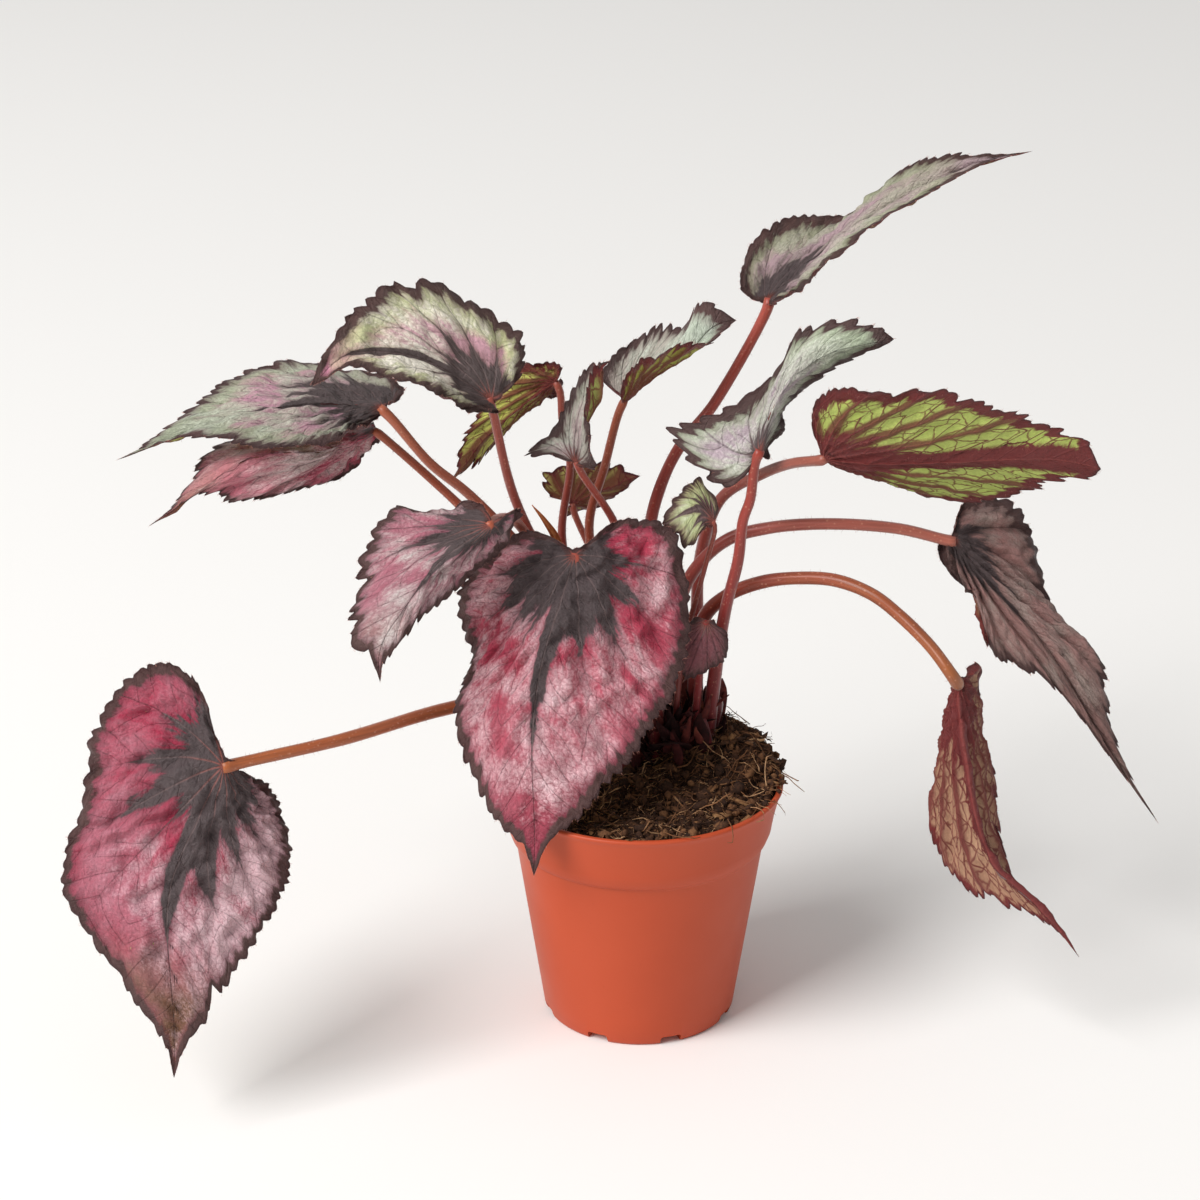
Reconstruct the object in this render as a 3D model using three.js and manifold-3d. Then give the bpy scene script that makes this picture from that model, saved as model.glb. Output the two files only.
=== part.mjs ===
// Potted rex begonia in a 12 cm plastic nursery pot.
// Millimetres, +Z up. The origin is the centre of the pot's base, and the viewer looks along +Y.

import * as THREE from 'three';
import { mergeVertices } from 'three/addons/utils/BufferGeometryUtils.js';
import Module from 'manifold-3d';

// Pot
const RIM_RADIUS = 60;
const POT_HEIGHT = 105;
const BAND_RADIUS = 55.4;
const BAND_LOW = 87;
const SHOULDER_LOW = 80;
const BODY_RADIUS = 51.8;
const BASE_RADIUS = 39.9;
const WALL = 1.5;
const LIP = 2.4;
const FLOOR_TOP = 4.2;
const RECESS_HEIGHT = 2.2;
const PAD_RADIUS = 14;
const FOOT_INNER_RADIUS = 35.2;
const DRAIN_COUNT = 6;
const DRAIN_RADIUS = 25;
const DRAIN_WIDTH = 5;
const DRAIN_LENGTH = 11;
const NOTCH_COUNT = 8;
const NOTCH_WIDTH = 9;
const NOTCH_HEIGHT = 4;
const POT_SEGMENTS = 40;

// Soil and rhizome
const SOIL_LEVEL = 100.5;
const MOUND_RISE = 15;
const MOUND_CENTRE = [26, 24];
const MOUND_SPREAD = 22;
const SOIL_FLOOR = 5;
const SOIL_SEGMENTS = 30;
const LUMP_RISE = 1.3;
const RHIZOME_RADIUS = 6.4;
const RHIZOME_SINK = 1.4;
const FOOT_DEPTH = 7;

// Leaves
const BLADE_THICKNESS = 0.8;
const BLADE_SECTORS = 32;
const BLADE_RINGS = [0.5, 0.82, 1];
const BLADE_CENTRE = 0.15;
const RUFFLE_COUNT = 8;
const RUFFLE_RISE = 1.5;
const TOOTH_DEPTH = 0.022;
const STALK_SIDES = 6;
const STALK_STEP = 16;
const STALK_SHORT = 1.4;

// Clear space left round a piece that stands in or against another
const GAP = 0.35;
const JOINT_GAP = 0.7;
const SOIL_GAP = 0.6;

// The photograph's camera: 1200 px frame, level, pitched down, no roll.
const FRAME_CENTRE = 600;
const FOCAL = 3221;
const PITCH = THREE.MathUtils.degToRad(22.94);
const CAMERA = new THREE.Vector3(-16.5, -1200, 692.1);

// Flat heart outline of a blade of unit length. The stalk joins at (0, 0) and the tip is at (1, 0).
const HEART = [[0.78, 0.13], [0.55, 0.33], [0.28, 0.47], [0, 0.5], [-0.25, 0.38], [-0.28, 0.16]];
const SINUS = -0.05;
const RIB = [0.33, 0.66];

// Each leaf: photo positions in px of the tip, stalk joint, midrib, and of the margin on its left
// and right, from the tip to the basal lobe, at the stations of HEART.
// depth is the Y in mm of the joint, then its change per blade length towards the tip, towards the
// left margin and towards the right margin, then the sideways bow and the lengthwise droop.
// stalk is [px, px, Y mm] from the blade down, foot is the X and Y where it enters the soil, and
// radius is that of the stalk at the top and at the foot.
const LEAVES = [
  {
    name: '01', slot: 'blade_crimson', tip: [174, 1078], joint: [223, 766],
    rib: [[176, 868], [169, 962]],
    left: [[212, 1015], [256, 946], [288, 888], [291, 835], [272, 788], [240, 767]],
    right: [[125, 991], [60, 887], [80, 795], [95, 715], [150, 661], [200, 684]],
    depth: [-72, -38, 15, 15, 30, 0],
    stalk: [[232, 765, -69], [340, 740, -48], [450, 708, -14], [560, 690, 6]],
    foot: [-15, 12], radius: [2.3, 3.0],
  },
  {
    name: '02', slot: 'blade_crimson', tip: [534, 876], joint: [574, 556],
    rib: [[545, 650], [532, 760]],
    left: [[588, 813], [645, 747], [682, 680], [693, 612], [674, 529], [622, 518]],
    right: [[489, 816], [452, 722], [467, 664], [456, 600], [484, 555], [527, 530]],
    depth: [-22, -40, 20, 20, 20, 0],
    stalk: [[582, 562, -14], [625, 630, 0], [655, 700, 8]],
    foot: [7, 13], radius: [2.3, 3.0],
  },
  {
    name: '03', slot: 'blade_crimson', tip: [380, 682], joint: [490, 525],
    rib: [[440, 562], [400, 615]],
    left: [[395, 652], [428, 616], [462, 587], [491, 561], [513, 535], [521, 507]],
    right: [[346, 640], [351, 600], [360, 548], [390, 506], [430, 517], [470, 500]],
    depth: [-38, -28, 6, 14, 20, 0],
    stalk: [[495, 520, -27], [507, 518, -11], [520, 526, 1], [572, 606, 6], [622, 700, 8]],
    foot: [-5, 14], radius: [1.8, 2.6],
  },
  {
    name: '04', slot: 'blade_silver', tip: [311, 385], joint: [490, 398],
    rib: [[419, 358], [350, 354]],
    left: [[345, 370], [395, 382], [433, 392], [456, 407], [476, 413], [498, 414]],
    right: [[333, 336], [364, 295], [415, 275], [472, 297], [522, 332], [525, 372]],
    depth: [-14, -22, -45, 28, 0, 0],
    stalk: [[493, 412, -10], [515, 499, 7], [560, 590, 14], [620, 690, 20]],
    foot: [-1, 23], radius: [1.7, 2.5],
  },
  {
    name: '05', slot: 'blade_silver', tip: [117, 460], joint: [381, 407],
    rib: [[310, 404], [215, 421]],
    left: [[165, 442], [220, 442], [272, 450], [323, 444], [352, 433], [374, 420]],
    right: [[152, 436], [196, 400], [239, 371], [300, 361], [365, 371], [406, 388]],
    depth: [-5, -10, -50, 64, 0, 0],
    stalk: [[392, 419, -6], [430, 463, -2], [471, 496, 4], [556, 590, 18], [606, 680, 26]],
    foot: [-8, 31], radius: [1.8, 2.6],
  },
  {
    name: '06', slot: 'blade_crimson', tip: [149, 526], joint: [375, 430],
    rib: [[318, 452], [240, 462]],
    left: [[190, 499], [228, 504], [279, 496], [320, 486], [354, 467], [373, 446]],
    right: [[175, 500], [203, 452], [250, 438], [310, 428], [352, 424], [372, 425]],
    depth: [2, -30, -14, 60, 0, 0],
    stalk: [[384, 438, 4], [432, 480, 8], [466, 512, 9], [536, 590, 10], [588, 680, 16]],
    foot: [-13, 22], radius: [1.6, 2.5],
  },
  {
    name: '07', slot: 'blade_green', tip: [450, 482], joint: [556, 381],
    rib: [[522, 405], [483, 440]],
    left: [[456, 450], [468, 425], [480, 395], [505, 370], [540, 360], [562, 366]],
    right: [[474, 470], [490, 450], [505, 432], [527, 411], [550, 399], [563, 387]],
    depth: [38, 6, 5, 30, 0, 0],
    stalk: [[560, 392, 38], [562, 420, 38], [570, 463, 37], [562, 539, 35], [590, 640, 35]],
    foot: [3, 35], radius: [1.4, 2.3],
  },
  {
    name: '08', slot: 'blade_silver', tip: [610, 361], joint: [576, 462],
    rib: [[584, 428], [602, 390]],
    left: [[597, 358], [580, 370], [566, 398], [553, 425], [519, 459], [552, 457]],
    right: [[592, 366], [586, 386], [586, 404], [587, 422], [591, 447], [595, 472]],
    depth: [4, 6, 20, -25, 0, 0],
    stalk: [[582, 474, 6], [614, 522, 10], [638, 600, 17], [650, 680, 21]],
    foot: [8, 23], radius: [1.4, 2.3],
  },
  {
    name: '09', slot: 'blade_silver', tip: [736, 320], joint: [624, 400],
    rib: [[655, 376], [694, 348]],
    left: [[703, 296], [690, 318], [663, 322], [640, 333], [612, 354], [602, 376]],
    right: [[718, 340], [690, 340], [662, 352], [640, 360], [628, 368], [621, 390]],
    depth: [30, 14, 50, -40, 0, 0],
    stalk: [[618, 415, 32], [605, 465, 33], [589, 528, 33], [612, 620, 33]],
    foot: [11, 32], radius: [1.6, 2.5],
  },
  {
    name: '10', slot: 'blade_crimson', tip: [1033, 151], joint: [768, 299],
    rib: [[845, 235], [935, 182]],
    left: [[955, 152], [900, 170], [855, 211], [800, 213], [752, 240], [740, 290]],
    right: [[985, 164], [918, 200], [866, 232], [832, 261], [806, 282], [784, 299]],
    depth: [52, 6, 45, -65, 0, 0],
    stalk: [[768, 307, 52], [714, 404, 48], [679, 448, 45], [660, 488, 43], [650, 530, 41],
      [654, 620, 39]],
    foot: [17, 38], radius: [2.1, 3.0],
  },
  {
    name: '11', slot: 'blade_silver', tip: [894, 339], joint: [760, 452],
    rib: [[784, 391], [835, 352]],
    left: [[868, 319], [805, 324], [776, 368], [715, 409], [663, 432], [722, 488]],
    right: [[858, 358], [818, 382], [796, 396], [784, 410], [781, 434], [769, 450]],
    depth: [-8, 4, 20, 45, 0, 0],
    stalk: [[755, 462, -6], [750, 500, -4], [743, 520, -3], [738, 560, 0], [724, 616, 8]],
    foot: [31, 19], radius: [1.9, 3.0],
  },
  {
    name: '12', slot: 'blade_green', tip: [1101, 469], joint: [825, 458],
    rib: [[912, 463], [1005, 459]],
    left: [[1066, 482], [1030, 493], [975, 504], [930, 497], [893, 476], [855, 466]],
    right: [[1064, 427], [1006, 408], [950, 389], [895, 391], [840, 386], [812, 408]],
    depth: [-22, -6, 30, -30, 0, 0],
    stalk: [[821, 460, -20], [793, 463, -6], [762, 474, 12], [720, 500, 29], [700, 560, 35],
      [697, 630, 36]],
    foot: [24, 34], radius: [2.0, 2.9],
  },
  {
    name: '13', slot: 'blade_silver', tip: [1159, 824], joint: [955, 540],
    rib: [[1010, 605], [1075, 690]],
    left: [[1116, 735], [1103, 658], [1056, 615], [1040, 550], [1012, 500], [965, 500]],
    right: [[1100, 745], [1045, 683], [992, 655], [983, 605], [955, 580], [938, 548]],
    depth: [12, -14, 35, -15, 0, 0],
    stalk: [[950, 541, 13], [900, 529, 15], [831, 524, 17], [769, 528, 20], [725, 541, 23],
      [688, 580, 25], [670, 650, 23]],
    foot: [15, 20], radius: [2.2, 3.0],
  },
  {
    name: '14', slot: 'blade_green', tip: [1079, 957], joint: [959, 684],
    rib: [[968, 770], [1000, 870]],
    left: [[1036, 919], [970, 894], [933, 846], [936, 797], [947, 748], [954, 702]],
    right: [[1030, 898], [1006, 855], [998, 803], [988, 756], [974, 708], [980, 662]],
    depth: [-34, -24, 30, 45, 0, 0],
    stalk: [[951, 674, -38], [931, 647, -30], [900, 616, -19], [873, 595, -12], [838, 581, -4],
      [804, 578, 3], [763, 582, 10], [725, 597, 15], [702, 622, 17]],
    foot: [23, 22], radius: [2.4, 3.1],
  },
  {
    name: '15', slot: 'blade_green', tip: [640, 476], joint: [572, 503],
    rib: [[595, 492], [618, 484]],
    left: [[627, 489], [612, 500], [597, 508], [580, 513], [562, 514], [562, 508]],
    right: [[622, 464], [600, 459], [580, 459], [558, 463], [541, 475], [547, 495]],
    depth: [58, 6, 10, -6, 0, 0],
    stalk: [[574, 512, 58], [600, 570, 54], [636, 660, 48]],
    foot: [10, 43], radius: [1.3, 2.1],
  },
  {
    name: '16', slot: 'blade_green', tip: [662, 524], joint: [713, 521],
    rib: [[699, 508], [682, 514]],
    left: [[672, 537], [686, 551], [697, 540], [702, 530], [706, 522], [712, 527]],
    right: [[665, 508], [676, 493], [690, 480], [701, 477], [712, 492], [719, 510]],
    depth: [4, -4, -8, 16, 0, 0],
    stalk: [[715, 528, 5], [707, 560, 7], [695, 603, 9], [685, 640, 11], [677, 700, 10]],
    foot: [15, 8], radius: [0.9, 1.5],
  },
  {
    name: '17', slot: 'blade_crimson', tip: [684, 682], joint: [706, 622],
    rib: [[700, 642], [692, 662]],
    left: [[698, 678], [714, 671], [726, 660], [730, 645], [725, 630], [714, 620]],
    right: [[680, 672], [676, 657], [677, 642], [682, 629], [689, 620], [698, 617]],
    depth: [-4, -6, 6, 6, 0, 0],
    stalk: [[704, 631, 2], [700, 665, 7]],
    foot: [22, 12], radius: [1.2, 1.9],
  },
];

// Bract that grows from the stalk of leaf 4, as [px, px, Y mm] from its point to its root
const STIPULE = [[532, 505, 4], [545, 521, 5], [557, 542, 8], [556, 576, 13.5]];
const STIPULE_STALK = 3;
const STIPULE_WIDTH = 2.4;

const wasm = await Module();
wasm.setup();

const part = new THREE.Group();
part.name = 'potted_rex_begonia';

const FINISHES = {
  pot_plastic: 0xb9523a,
  potting_soil: 0x3a271d,
  rhizome_bark: 0x5a3427,
  stalk_red: 0x96442f,
  blade_silver: 0x9da594,
  blade_crimson: 0x9c4a5c,
  blade_green: 0x8f9a4e,
  bract_orange: 0xb5673a,
};

/** Point at depth y that the photograph shows at the given pixel. */
function seen(px, py, y) {
  const ahead = new THREE.Vector3(0, Math.cos(PITCH), -Math.sin(PITCH));
  const above = new THREE.Vector3(0, Math.sin(PITCH), Math.cos(PITCH));
  const ray = ahead.addScaledVector(above, (FRAME_CENTRE - py) / FOCAL);
  ray.x = (px - FRAME_CENTRE) / FOCAL;
  return CAMERA.clone().addScaledVector(ray, (y - CAMERA.y) / ray.y);
}

/** Closed solid of a geometry whose faces point out. */
function solid(geometry) {
  const bare = new THREE.BufferGeometry();
  bare.setAttribute('position', geometry.getAttribute('position'));
  bare.setIndex(geometry.index);
  const merged = mergeVertices(bare, 1e-4);
  return new wasm.Manifold(new wasm.Mesh({
    numProp: 3,
    vertProperties: merged.attributes.position.array,
    triVerts: new Uint32Array(merged.index.array),
  }));
}

/** The largest piece of a solid. */
function largest(body) {
  const pieces = body.decompose();
  pieces.sort((a, b) => b.volume() - a.volume());
  return pieces[0];
}

/** Add a solid to the part as a named mesh. */
function place(name, body, slot) {
  const mesh = body.getMesh();
  const geometry = new THREE.BufferGeometry();
  geometry.setAttribute('position', new THREE.BufferAttribute(mesh.vertProperties, 3));
  geometry.setIndex(new THREE.BufferAttribute(mesh.triVerts, 1));
  geometry.computeVertexNormals();
  const material = new THREE.MeshStandardMaterial({ color: FINISHES[slot], name: slot });
  const piece = new THREE.Mesh(geometry, material);
  piece.name = name;
  part.add(piece);
}

/** Closed body turned about Z from a profile of [radius, height] that closes on itself. */
function turned(profile, segments) {
  const points = profile.map(([r, z]) => new THREE.Vector2(r, z));
  const geometry = new THREE.LatheGeometry(points, segments);
  geometry.rotateX(Math.PI / 2);
  return solid(geometry);
}

/** Round bar along a curve, with a radius at each end. */
function bar(curve, steps, sides, radiusStart, radiusEnd) {
  const frames = curve.computeFrenetFrames(steps, false);
  const positions = [];
  const faces = [];
  for (let i = 0; i <= steps; i += 1) {
    const t = i / steps;
    const centre = curve.getPointAt(t);
    const radius = radiusStart + (radiusEnd - radiusStart) * t;
    for (let j = 0; j < sides; j += 1) {
      const angle = (2 * Math.PI * j) / sides;
      const point = centre.clone()
        .addScaledVector(frames.normals[i], radius * Math.cos(angle))
        .addScaledVector(frames.binormals[i], radius * Math.sin(angle));
      positions.push(point.x, point.y, point.z);
    }
  }
  for (let i = 0; i < steps; i += 1) {
    for (let j = 0; j < sides; j += 1) {
      const a = i * sides + j;
      const b = i * sides + ((j + 1) % sides);
      faces.push(a, b, b + sides);
      faces.push(a, b + sides, a + sides);
    }
  }
  const last = steps * sides;
  for (let j = 1; j < sides - 1; j += 1) {
    faces.push(0, j + 1, j);
    faces.push(last, last + j, last + j + 1);
  }
  const geometry = new THREE.BufferGeometry();
  geometry.setAttribute('position', new THREE.Float32BufferAttribute(positions, 3));
  geometry.setIndex(faces);
  return solid(geometry);
}

/** Solve a square linear system with several right-hand sides, by elimination with pivoting. */
function solve(matrix, sides) {
  const n = matrix.length;
  const rows = matrix.map((row, i) => [...row, ...sides[i]]);
  for (let i = 0; i < n; i += 1) {
    let pivot = i;
    for (let k = i + 1; k < n; k += 1) {
      if (Math.abs(rows[k][i]) > Math.abs(rows[pivot][i])) pivot = k;
    }
    [rows[i], rows[pivot]] = [rows[pivot], rows[i]];
    for (let k = 0; k < n; k += 1) {
      if (k === i) continue;
      const share = rows[k][i] / rows[i][i];
      for (let j = i; j < rows[k].length; j += 1) rows[k][j] -= share * rows[i][j];
    }
  }
  return rows.map((row, i) => row.slice(n).map((value) => value / row[i]));
}

/** Stretch of a thin plate at distance r from a held point. */
function plate(r) {
  return r > 1e-9 ? r * r * Math.log(r) : 0;
}

/** Terms of the plate's overall tilt, with a crease along the midrib. */
function tilt(u, v) {
  return [1, u, v, Math.abs(v)];
}

/** Map from the flat outline to the photograph, as a thin plate held at the leaf's read points. */
function photoMap(leaf) {
  const held = [[0, 0, ...leaf.joint], [1, 0, ...leaf.tip]];
  RIB.forEach((u, i) => held.push([u, 0, ...leaf.rib[i]]));
  HEART.forEach(([u, v], i) => {
    held.push([u, v, ...leaf.left[i]]);
    held.push([u, -v, ...leaf.right[i]]);
  });
  const n = held.length;
  const matrix = [];
  const values = [];
  for (let i = 0; i < n; i += 1) {
    const row = held.map(([u, v]) => plate(Math.hypot(u - held[i][0], v - held[i][1])));
    matrix.push([...row, ...tilt(held[i][0], held[i][1])]);
    values.push([held[i][2], held[i][3]]);
  }
  for (let k = 0; k < 4; k += 1) {
    matrix.push([...held.map(([u, v]) => tilt(u, v)[k]), 0, 0, 0, 0]);
    values.push([0, 0]);
  }
  const weights = solve(matrix, values);
  return (u, v) => {
    const terms = held.map(([hu, hv]) => plate(Math.hypot(u - hu, v - hv)));
    terms.push(...tilt(u, v));
    return [0, 1].map((k) => terms.reduce((sum, term, i) => sum + term * weights[i][k], 0));
  };
}

/** Y of a leaf at a flat position. */
function depthAt(leaf, u, v) {
  const [joint, along, left, right, bow, droop] = leaf.depth;
  return joint + along * u + (v > 0 ? left * v : -right * v) + bow * v * v + droop * u * u;
}

/** Flat outline as a curve from the tip, round the left side and the right, back to the tip. */
function outline() {
  const left = HEART.map(([u, v]) => new THREE.Vector3(u, v, 0));
  const right = HEART.map(([u, v]) => new THREE.Vector3(u, -v, 0)).reverse();
  const tip = new THREE.Vector3(1, 0, 0);
  const sinus = new THREE.Vector3(SINUS, 0, 0);
  return new THREE.CatmullRomCurve3(
    [tip, ...left, sinus, ...right, tip.clone()],
    false,
    'centripetal',
  );
}

/** Mid-surface of a blade: points, faces wound for the top side, and the margin's indices. */
function sheet(leaf) {
  const toPhoto = photoMap(leaf);
  const edge = outline();
  const flat = [[BLADE_CENTRE, 0]];
  const lift = [0];
  const phase = Number(leaf.name) * 1.7;
  BLADE_RINGS.forEach((ring) => {
    for (let i = 0; i < BLADE_SECTORS; i += 1) {
      const t = i / BLADE_SECTORS;
      const mark = edge.getPoint(t);
      const inner = Math.sin(Math.PI * t) ** 2;
      const tooth = 1 - TOOTH_DEPTH * ring ** 6 * inner * (i % 2);
      const reach = ring * tooth;
      flat.push([BLADE_CENTRE + (mark.x - BLADE_CENTRE) * reach, mark.y * reach]);
      const wave = Math.sin(2 * Math.PI * RUFFLE_COUNT * t + phase);
      lift.push(RUFFLE_RISE * ring ** 5 * inner * wave);
    }
  });
  const points = flat.map(([u, v]) => seen(...toPhoto(u, v), depthAt(leaf, u, v)));
  const faces = [];
  const n = BLADE_SECTORS;
  for (let i = 0; i < n; i += 1) {
    const j = (i + 1) % n;
    faces.push([0, 1 + i, 1 + j]);
    for (let k = 1; k < BLADE_RINGS.length; k += 1) {
      const a = 1 + (k - 1) * n;
      const b = 1 + k * n;
      faces.push([a + i, b + i, b + j]);
      faces.push([a + i, b + j, a + j]);
    }
  }
  const normals = sheetNormals(points, faces);
  points.forEach((point, i) => point.addScaledVector(normals[i], lift[i]));
  return { points, faces, margin: 1 + (BLADE_RINGS.length - 1) * n };
}

/** Unit normals of a sheet's points, from the faces that meet there. */
function sheetNormals(points, faces) {
  const normals = points.map(() => new THREE.Vector3());
  faces.forEach(([a, b, c]) => {
    const ab = points[b].clone().sub(points[a]);
    const ac = points[c].clone().sub(points[a]);
    const face = ab.cross(ac);
    [a, b, c].forEach((index) => normals[index].add(face));
  });
  return normals.map((normal) => normal.normalize());
}

/** Closed blade of a leaf, both faces split alike, grown by a clear space on every side. */
function blade(leaf, clear) {
  const { points, faces, margin } = sheet(leaf);
  const normals = sheetNormals(points, faces);
  const edge = points.slice(margin);
  edge.forEach((point, i) => {
    const ahead = edge[(i + 1) % BLADE_SECTORS].clone();
    const behind = edge[(i + BLADE_SECTORS - 1) % BLADE_SECTORS];
    const outwards = ahead.sub(behind).cross(normals[margin + i]).normalize();
    points[margin + i] = point.clone().addScaledVector(outwards, clear);
  });
  const half = BLADE_THICKNESS / 2 + clear;
  const positions = [];
  [half, -half].forEach((offset) => {
    points.forEach((point, i) => {
      const moved = point.clone().addScaledVector(normals[i], offset);
      positions.push(moved.x, moved.y, moved.z);
    });
  });
  const n = points.length;
  const indices = [];
  faces.forEach(([a, b, c]) => {
    indices.push(a, b, c);
    indices.push(a + n, c + n, b + n);
  });
  for (let i = 0; i < BLADE_SECTORS; i += 1) {
    const a = margin + i;
    const b = margin + ((i + 1) % BLADE_SECTORS);
    indices.push(a, a + n, b + n);
    indices.push(a, b + n, b);
  }
  const geometry = new THREE.BufferGeometry();
  geometry.setAttribute('position', new THREE.Float32BufferAttribute(positions, 3));
  geometry.setIndex(indices);
  return solid(geometry);
}

/** Height of the soil's surface. */
function soilHeight(x, y) {
  const [cx, cy] = MOUND_CENTRE;
  const far = ((x - cx) ** 2 + (y - cy) ** 2) / (2 * MOUND_SPREAD ** 2);
  const lumps = Math.sin(x * 0.43 + y * 0.21) * Math.cos(y * 0.37 - x * 0.17);
  const edge = THREE.MathUtils.smoothstep(Math.hypot(x, y), 42, 57);
  return SOIL_LEVEL + MOUND_RISE * Math.exp(-far) * (1 - 0.35 * edge) + LUMP_RISE * lumps;
}

/** Outer radius of the pot's wall at a height below the band. */
function bodyRadius(z) {
  return BASE_RADIUS + ((BODY_RADIUS - BASE_RADIUS) * z) / (SHOULDER_LOW - 1);
}

/** The stalk of a leaf as a curve, from the middle of the blade at its joint to the foot. */
function stalkCurve(leaf, clear) {
  const toPhoto = photoMap(leaf);
  const [x, y] = leaf.foot;
  const points = [seen(...toPhoto(0.01, 0), depthAt(leaf, 0.01, 0))];
  leaf.stalk.forEach(([px, py, depth]) => points.push(seen(px, py, depth)));
  points[0].add(points[1].clone().sub(points[0]).setLength(STALK_SHORT));
  points.push(new THREE.Vector3(x, y, soilHeight(x, y) - FOOT_DEPTH - clear));
  return new THREE.CatmullRomCurve3(points, false, 'centripetal');
}

/** Stalk of a leaf, grown by a clear space on every side. */
function stalk(leaf, clear) {
  const curve = stalkCurve(leaf, clear);
  const steps = Math.max(6, Math.round(curve.getLength() / STALK_STEP));
  const [top, foot] = leaf.radius;
  return bar(curve, steps, STALK_SIDES, top + clear, foot + clear);
}

/** Pot: rim band and shoulder over a tapering body, raised floor, drain slots and foot notches. */
function pot() {
  const inner = bodyRadius(FLOOR_TOP) - WALL;
  const body = turned([
    [0, 0],
    [PAD_RADIUS, 0],
    [PAD_RADIUS + 2, RECESS_HEIGHT],
    [FOOT_INNER_RADIUS - 1, RECESS_HEIGHT],
    [FOOT_INNER_RADIUS, 0],
    [BASE_RADIUS - 1.6, 0],
    [BASE_RADIUS - 0.4, 0.6],
    [bodyRadius(2), 2],
    [BODY_RADIUS, SHOULDER_LOW - 1],
    [BODY_RADIUS + 1.1, SHOULDER_LOW],
    [BODY_RADIUS + 2.4, SHOULDER_LOW + 2.2],
    [BAND_RADIUS - 0.3, BAND_LOW - 2.2],
    [BAND_RADIUS, BAND_LOW],
    [RIM_RADIUS - 1.9, POT_HEIGHT - 6],
    [RIM_RADIUS - 0.7, POT_HEIGHT - 2.2],
    [RIM_RADIUS, POT_HEIGHT - 0.9],
    [RIM_RADIUS - 0.5, POT_HEIGHT],
    [RIM_RADIUS - LIP + 0.4, POT_HEIGHT],
    [RIM_RADIUS - LIP, POT_HEIGHT - 0.6],
    [RIM_RADIUS - LIP - 0.6, POT_HEIGHT - 4],
    [BAND_RADIUS - WALL, BAND_LOW],
    [BODY_RADIUS - WALL, SHOULDER_LOW],
    [inner, FLOOR_TOP + 1.5],
    [inner - 1.5, FLOOR_TOP],
    [0, FLOOR_TOP],
  ], POT_SEGMENTS);
  let result = body;
  for (let i = 0; i < DRAIN_COUNT; i += 1) {
    const slot = new THREE.BoxGeometry(DRAIN_LENGTH, DRAIN_WIDTH, 3 * FLOOR_TOP);
    slot.translate(DRAIN_RADIUS, 0, FLOOR_TOP / 2);
    slot.rotateZ((2 * Math.PI * i) / DRAIN_COUNT);
    result = result.subtract(solid(slot));
  }
  for (let i = 0; i < NOTCH_COUNT; i += 1) {
    const notch = new THREE.CylinderGeometry(NOTCH_WIDTH / 2, NOTCH_WIDTH / 2, 12, 10);
    notch.scale(1, 1, NOTCH_HEIGHT / (NOTCH_WIDTH / 2));
    notch.rotateZ(Math.PI / 2);
    notch.translate(BASE_RADIUS + 1, 0, -0.4);
    notch.rotateZ((2 * Math.PI * (i + 0.42)) / NOTCH_COUNT);
    result = result.subtract(solid(notch));
  }
  return result;
}

/** Soil: fills the pot and is heaped on top. */
function soil() {
  const side = [
    [bodyRadius(SOIL_FLOOR + 3) - WALL - SOIL_GAP - 2.2, SOIL_FLOOR],
    [bodyRadius(SOIL_FLOOR + 3) - WALL - SOIL_GAP, SOIL_FLOOR + 3],
    [BODY_RADIUS - WALL - SOIL_GAP, SHOULDER_LOW + 1],
    [BAND_RADIUS - WALL - SOIL_GAP, BAND_LOW + 1],
  ];
  const rings = [1, 0.86, 0.68, 0.48, 0.26];
  const outer = RIM_RADIUS - LIP - SOIL_GAP - 1.3;
  const positions = [0, 0, SOIL_FLOOR];
  for (let k = 0; k < side.length + rings.length; k += 1) {
    for (let i = 0; i < SOIL_SEGMENTS; i += 1) {
      const angle = (2 * Math.PI * i) / SOIL_SEGMENTS;
      const ring = rings[k - side.length];
      const radius = k < side.length ? side[k][0] : outer * ring;
      const x = radius * Math.cos(angle);
      const y = radius * Math.sin(angle);
      positions.push(x, y, k < side.length ? side[k][1] : soilHeight(x, y));
    }
  }
  positions.push(0, 0, soilHeight(0, 0));
  const last = positions.length / 3 - 1;
  const faces = [];
  for (let i = 0; i < SOIL_SEGMENTS; i += 1) {
    const j = (i + 1) % SOIL_SEGMENTS;
    faces.push(0, 1 + j, 1 + i);
    for (let k = 0; k < side.length + rings.length - 1; k += 1) {
      const a = 1 + k * SOIL_SEGMENTS;
      const b = a + SOIL_SEGMENTS;
      faces.push(a + i, a + j, b + j);
      faces.push(a + i, b + j, b + i);
    }
    const top = last - SOIL_SEGMENTS;
    faces.push(top + i, top + j, last);
  }
  const geometry = new THREE.BufferGeometry();
  geometry.setAttribute('position', new THREE.Float32BufferAttribute(positions, 3));
  geometry.setIndex(faces);
  return solid(geometry);
}

/** Rhizome: knobs fused along the creeping stem, grown by a clear space on every side. */
function rhizome(clear) {
  const run = new THREE.CatmullRomCurve3([
    new THREE.Vector3(-16, 17, 0),
    new THREE.Vector3(-2, 25, 0),
    new THREE.Vector3(14, 24, 0),
    new THREE.Vector3(33, 26, 0),
  ]);
  const knobs = 5;
  let result = null;
  for (let i = 0; i < knobs; i += 1) {
    const centre = run.getPointAt(i / (knobs - 1));
    const radius = RHIZOME_RADIUS * (0.9 + 0.16 * Math.sin(i * 2.3));
    const knob = new THREE.IcosahedronGeometry(radius + clear, 1);
    knob.scale(1.15, 1.25, 0.85);
    knob.rotateZ(i);
    knob.translate(centre.x, centre.y, soilHeight(centre.x, centre.y) - RHIZOME_SINK);
    result = result ? result.add(solid(knob)) : solid(knob);
  }
  return result;
}

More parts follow.
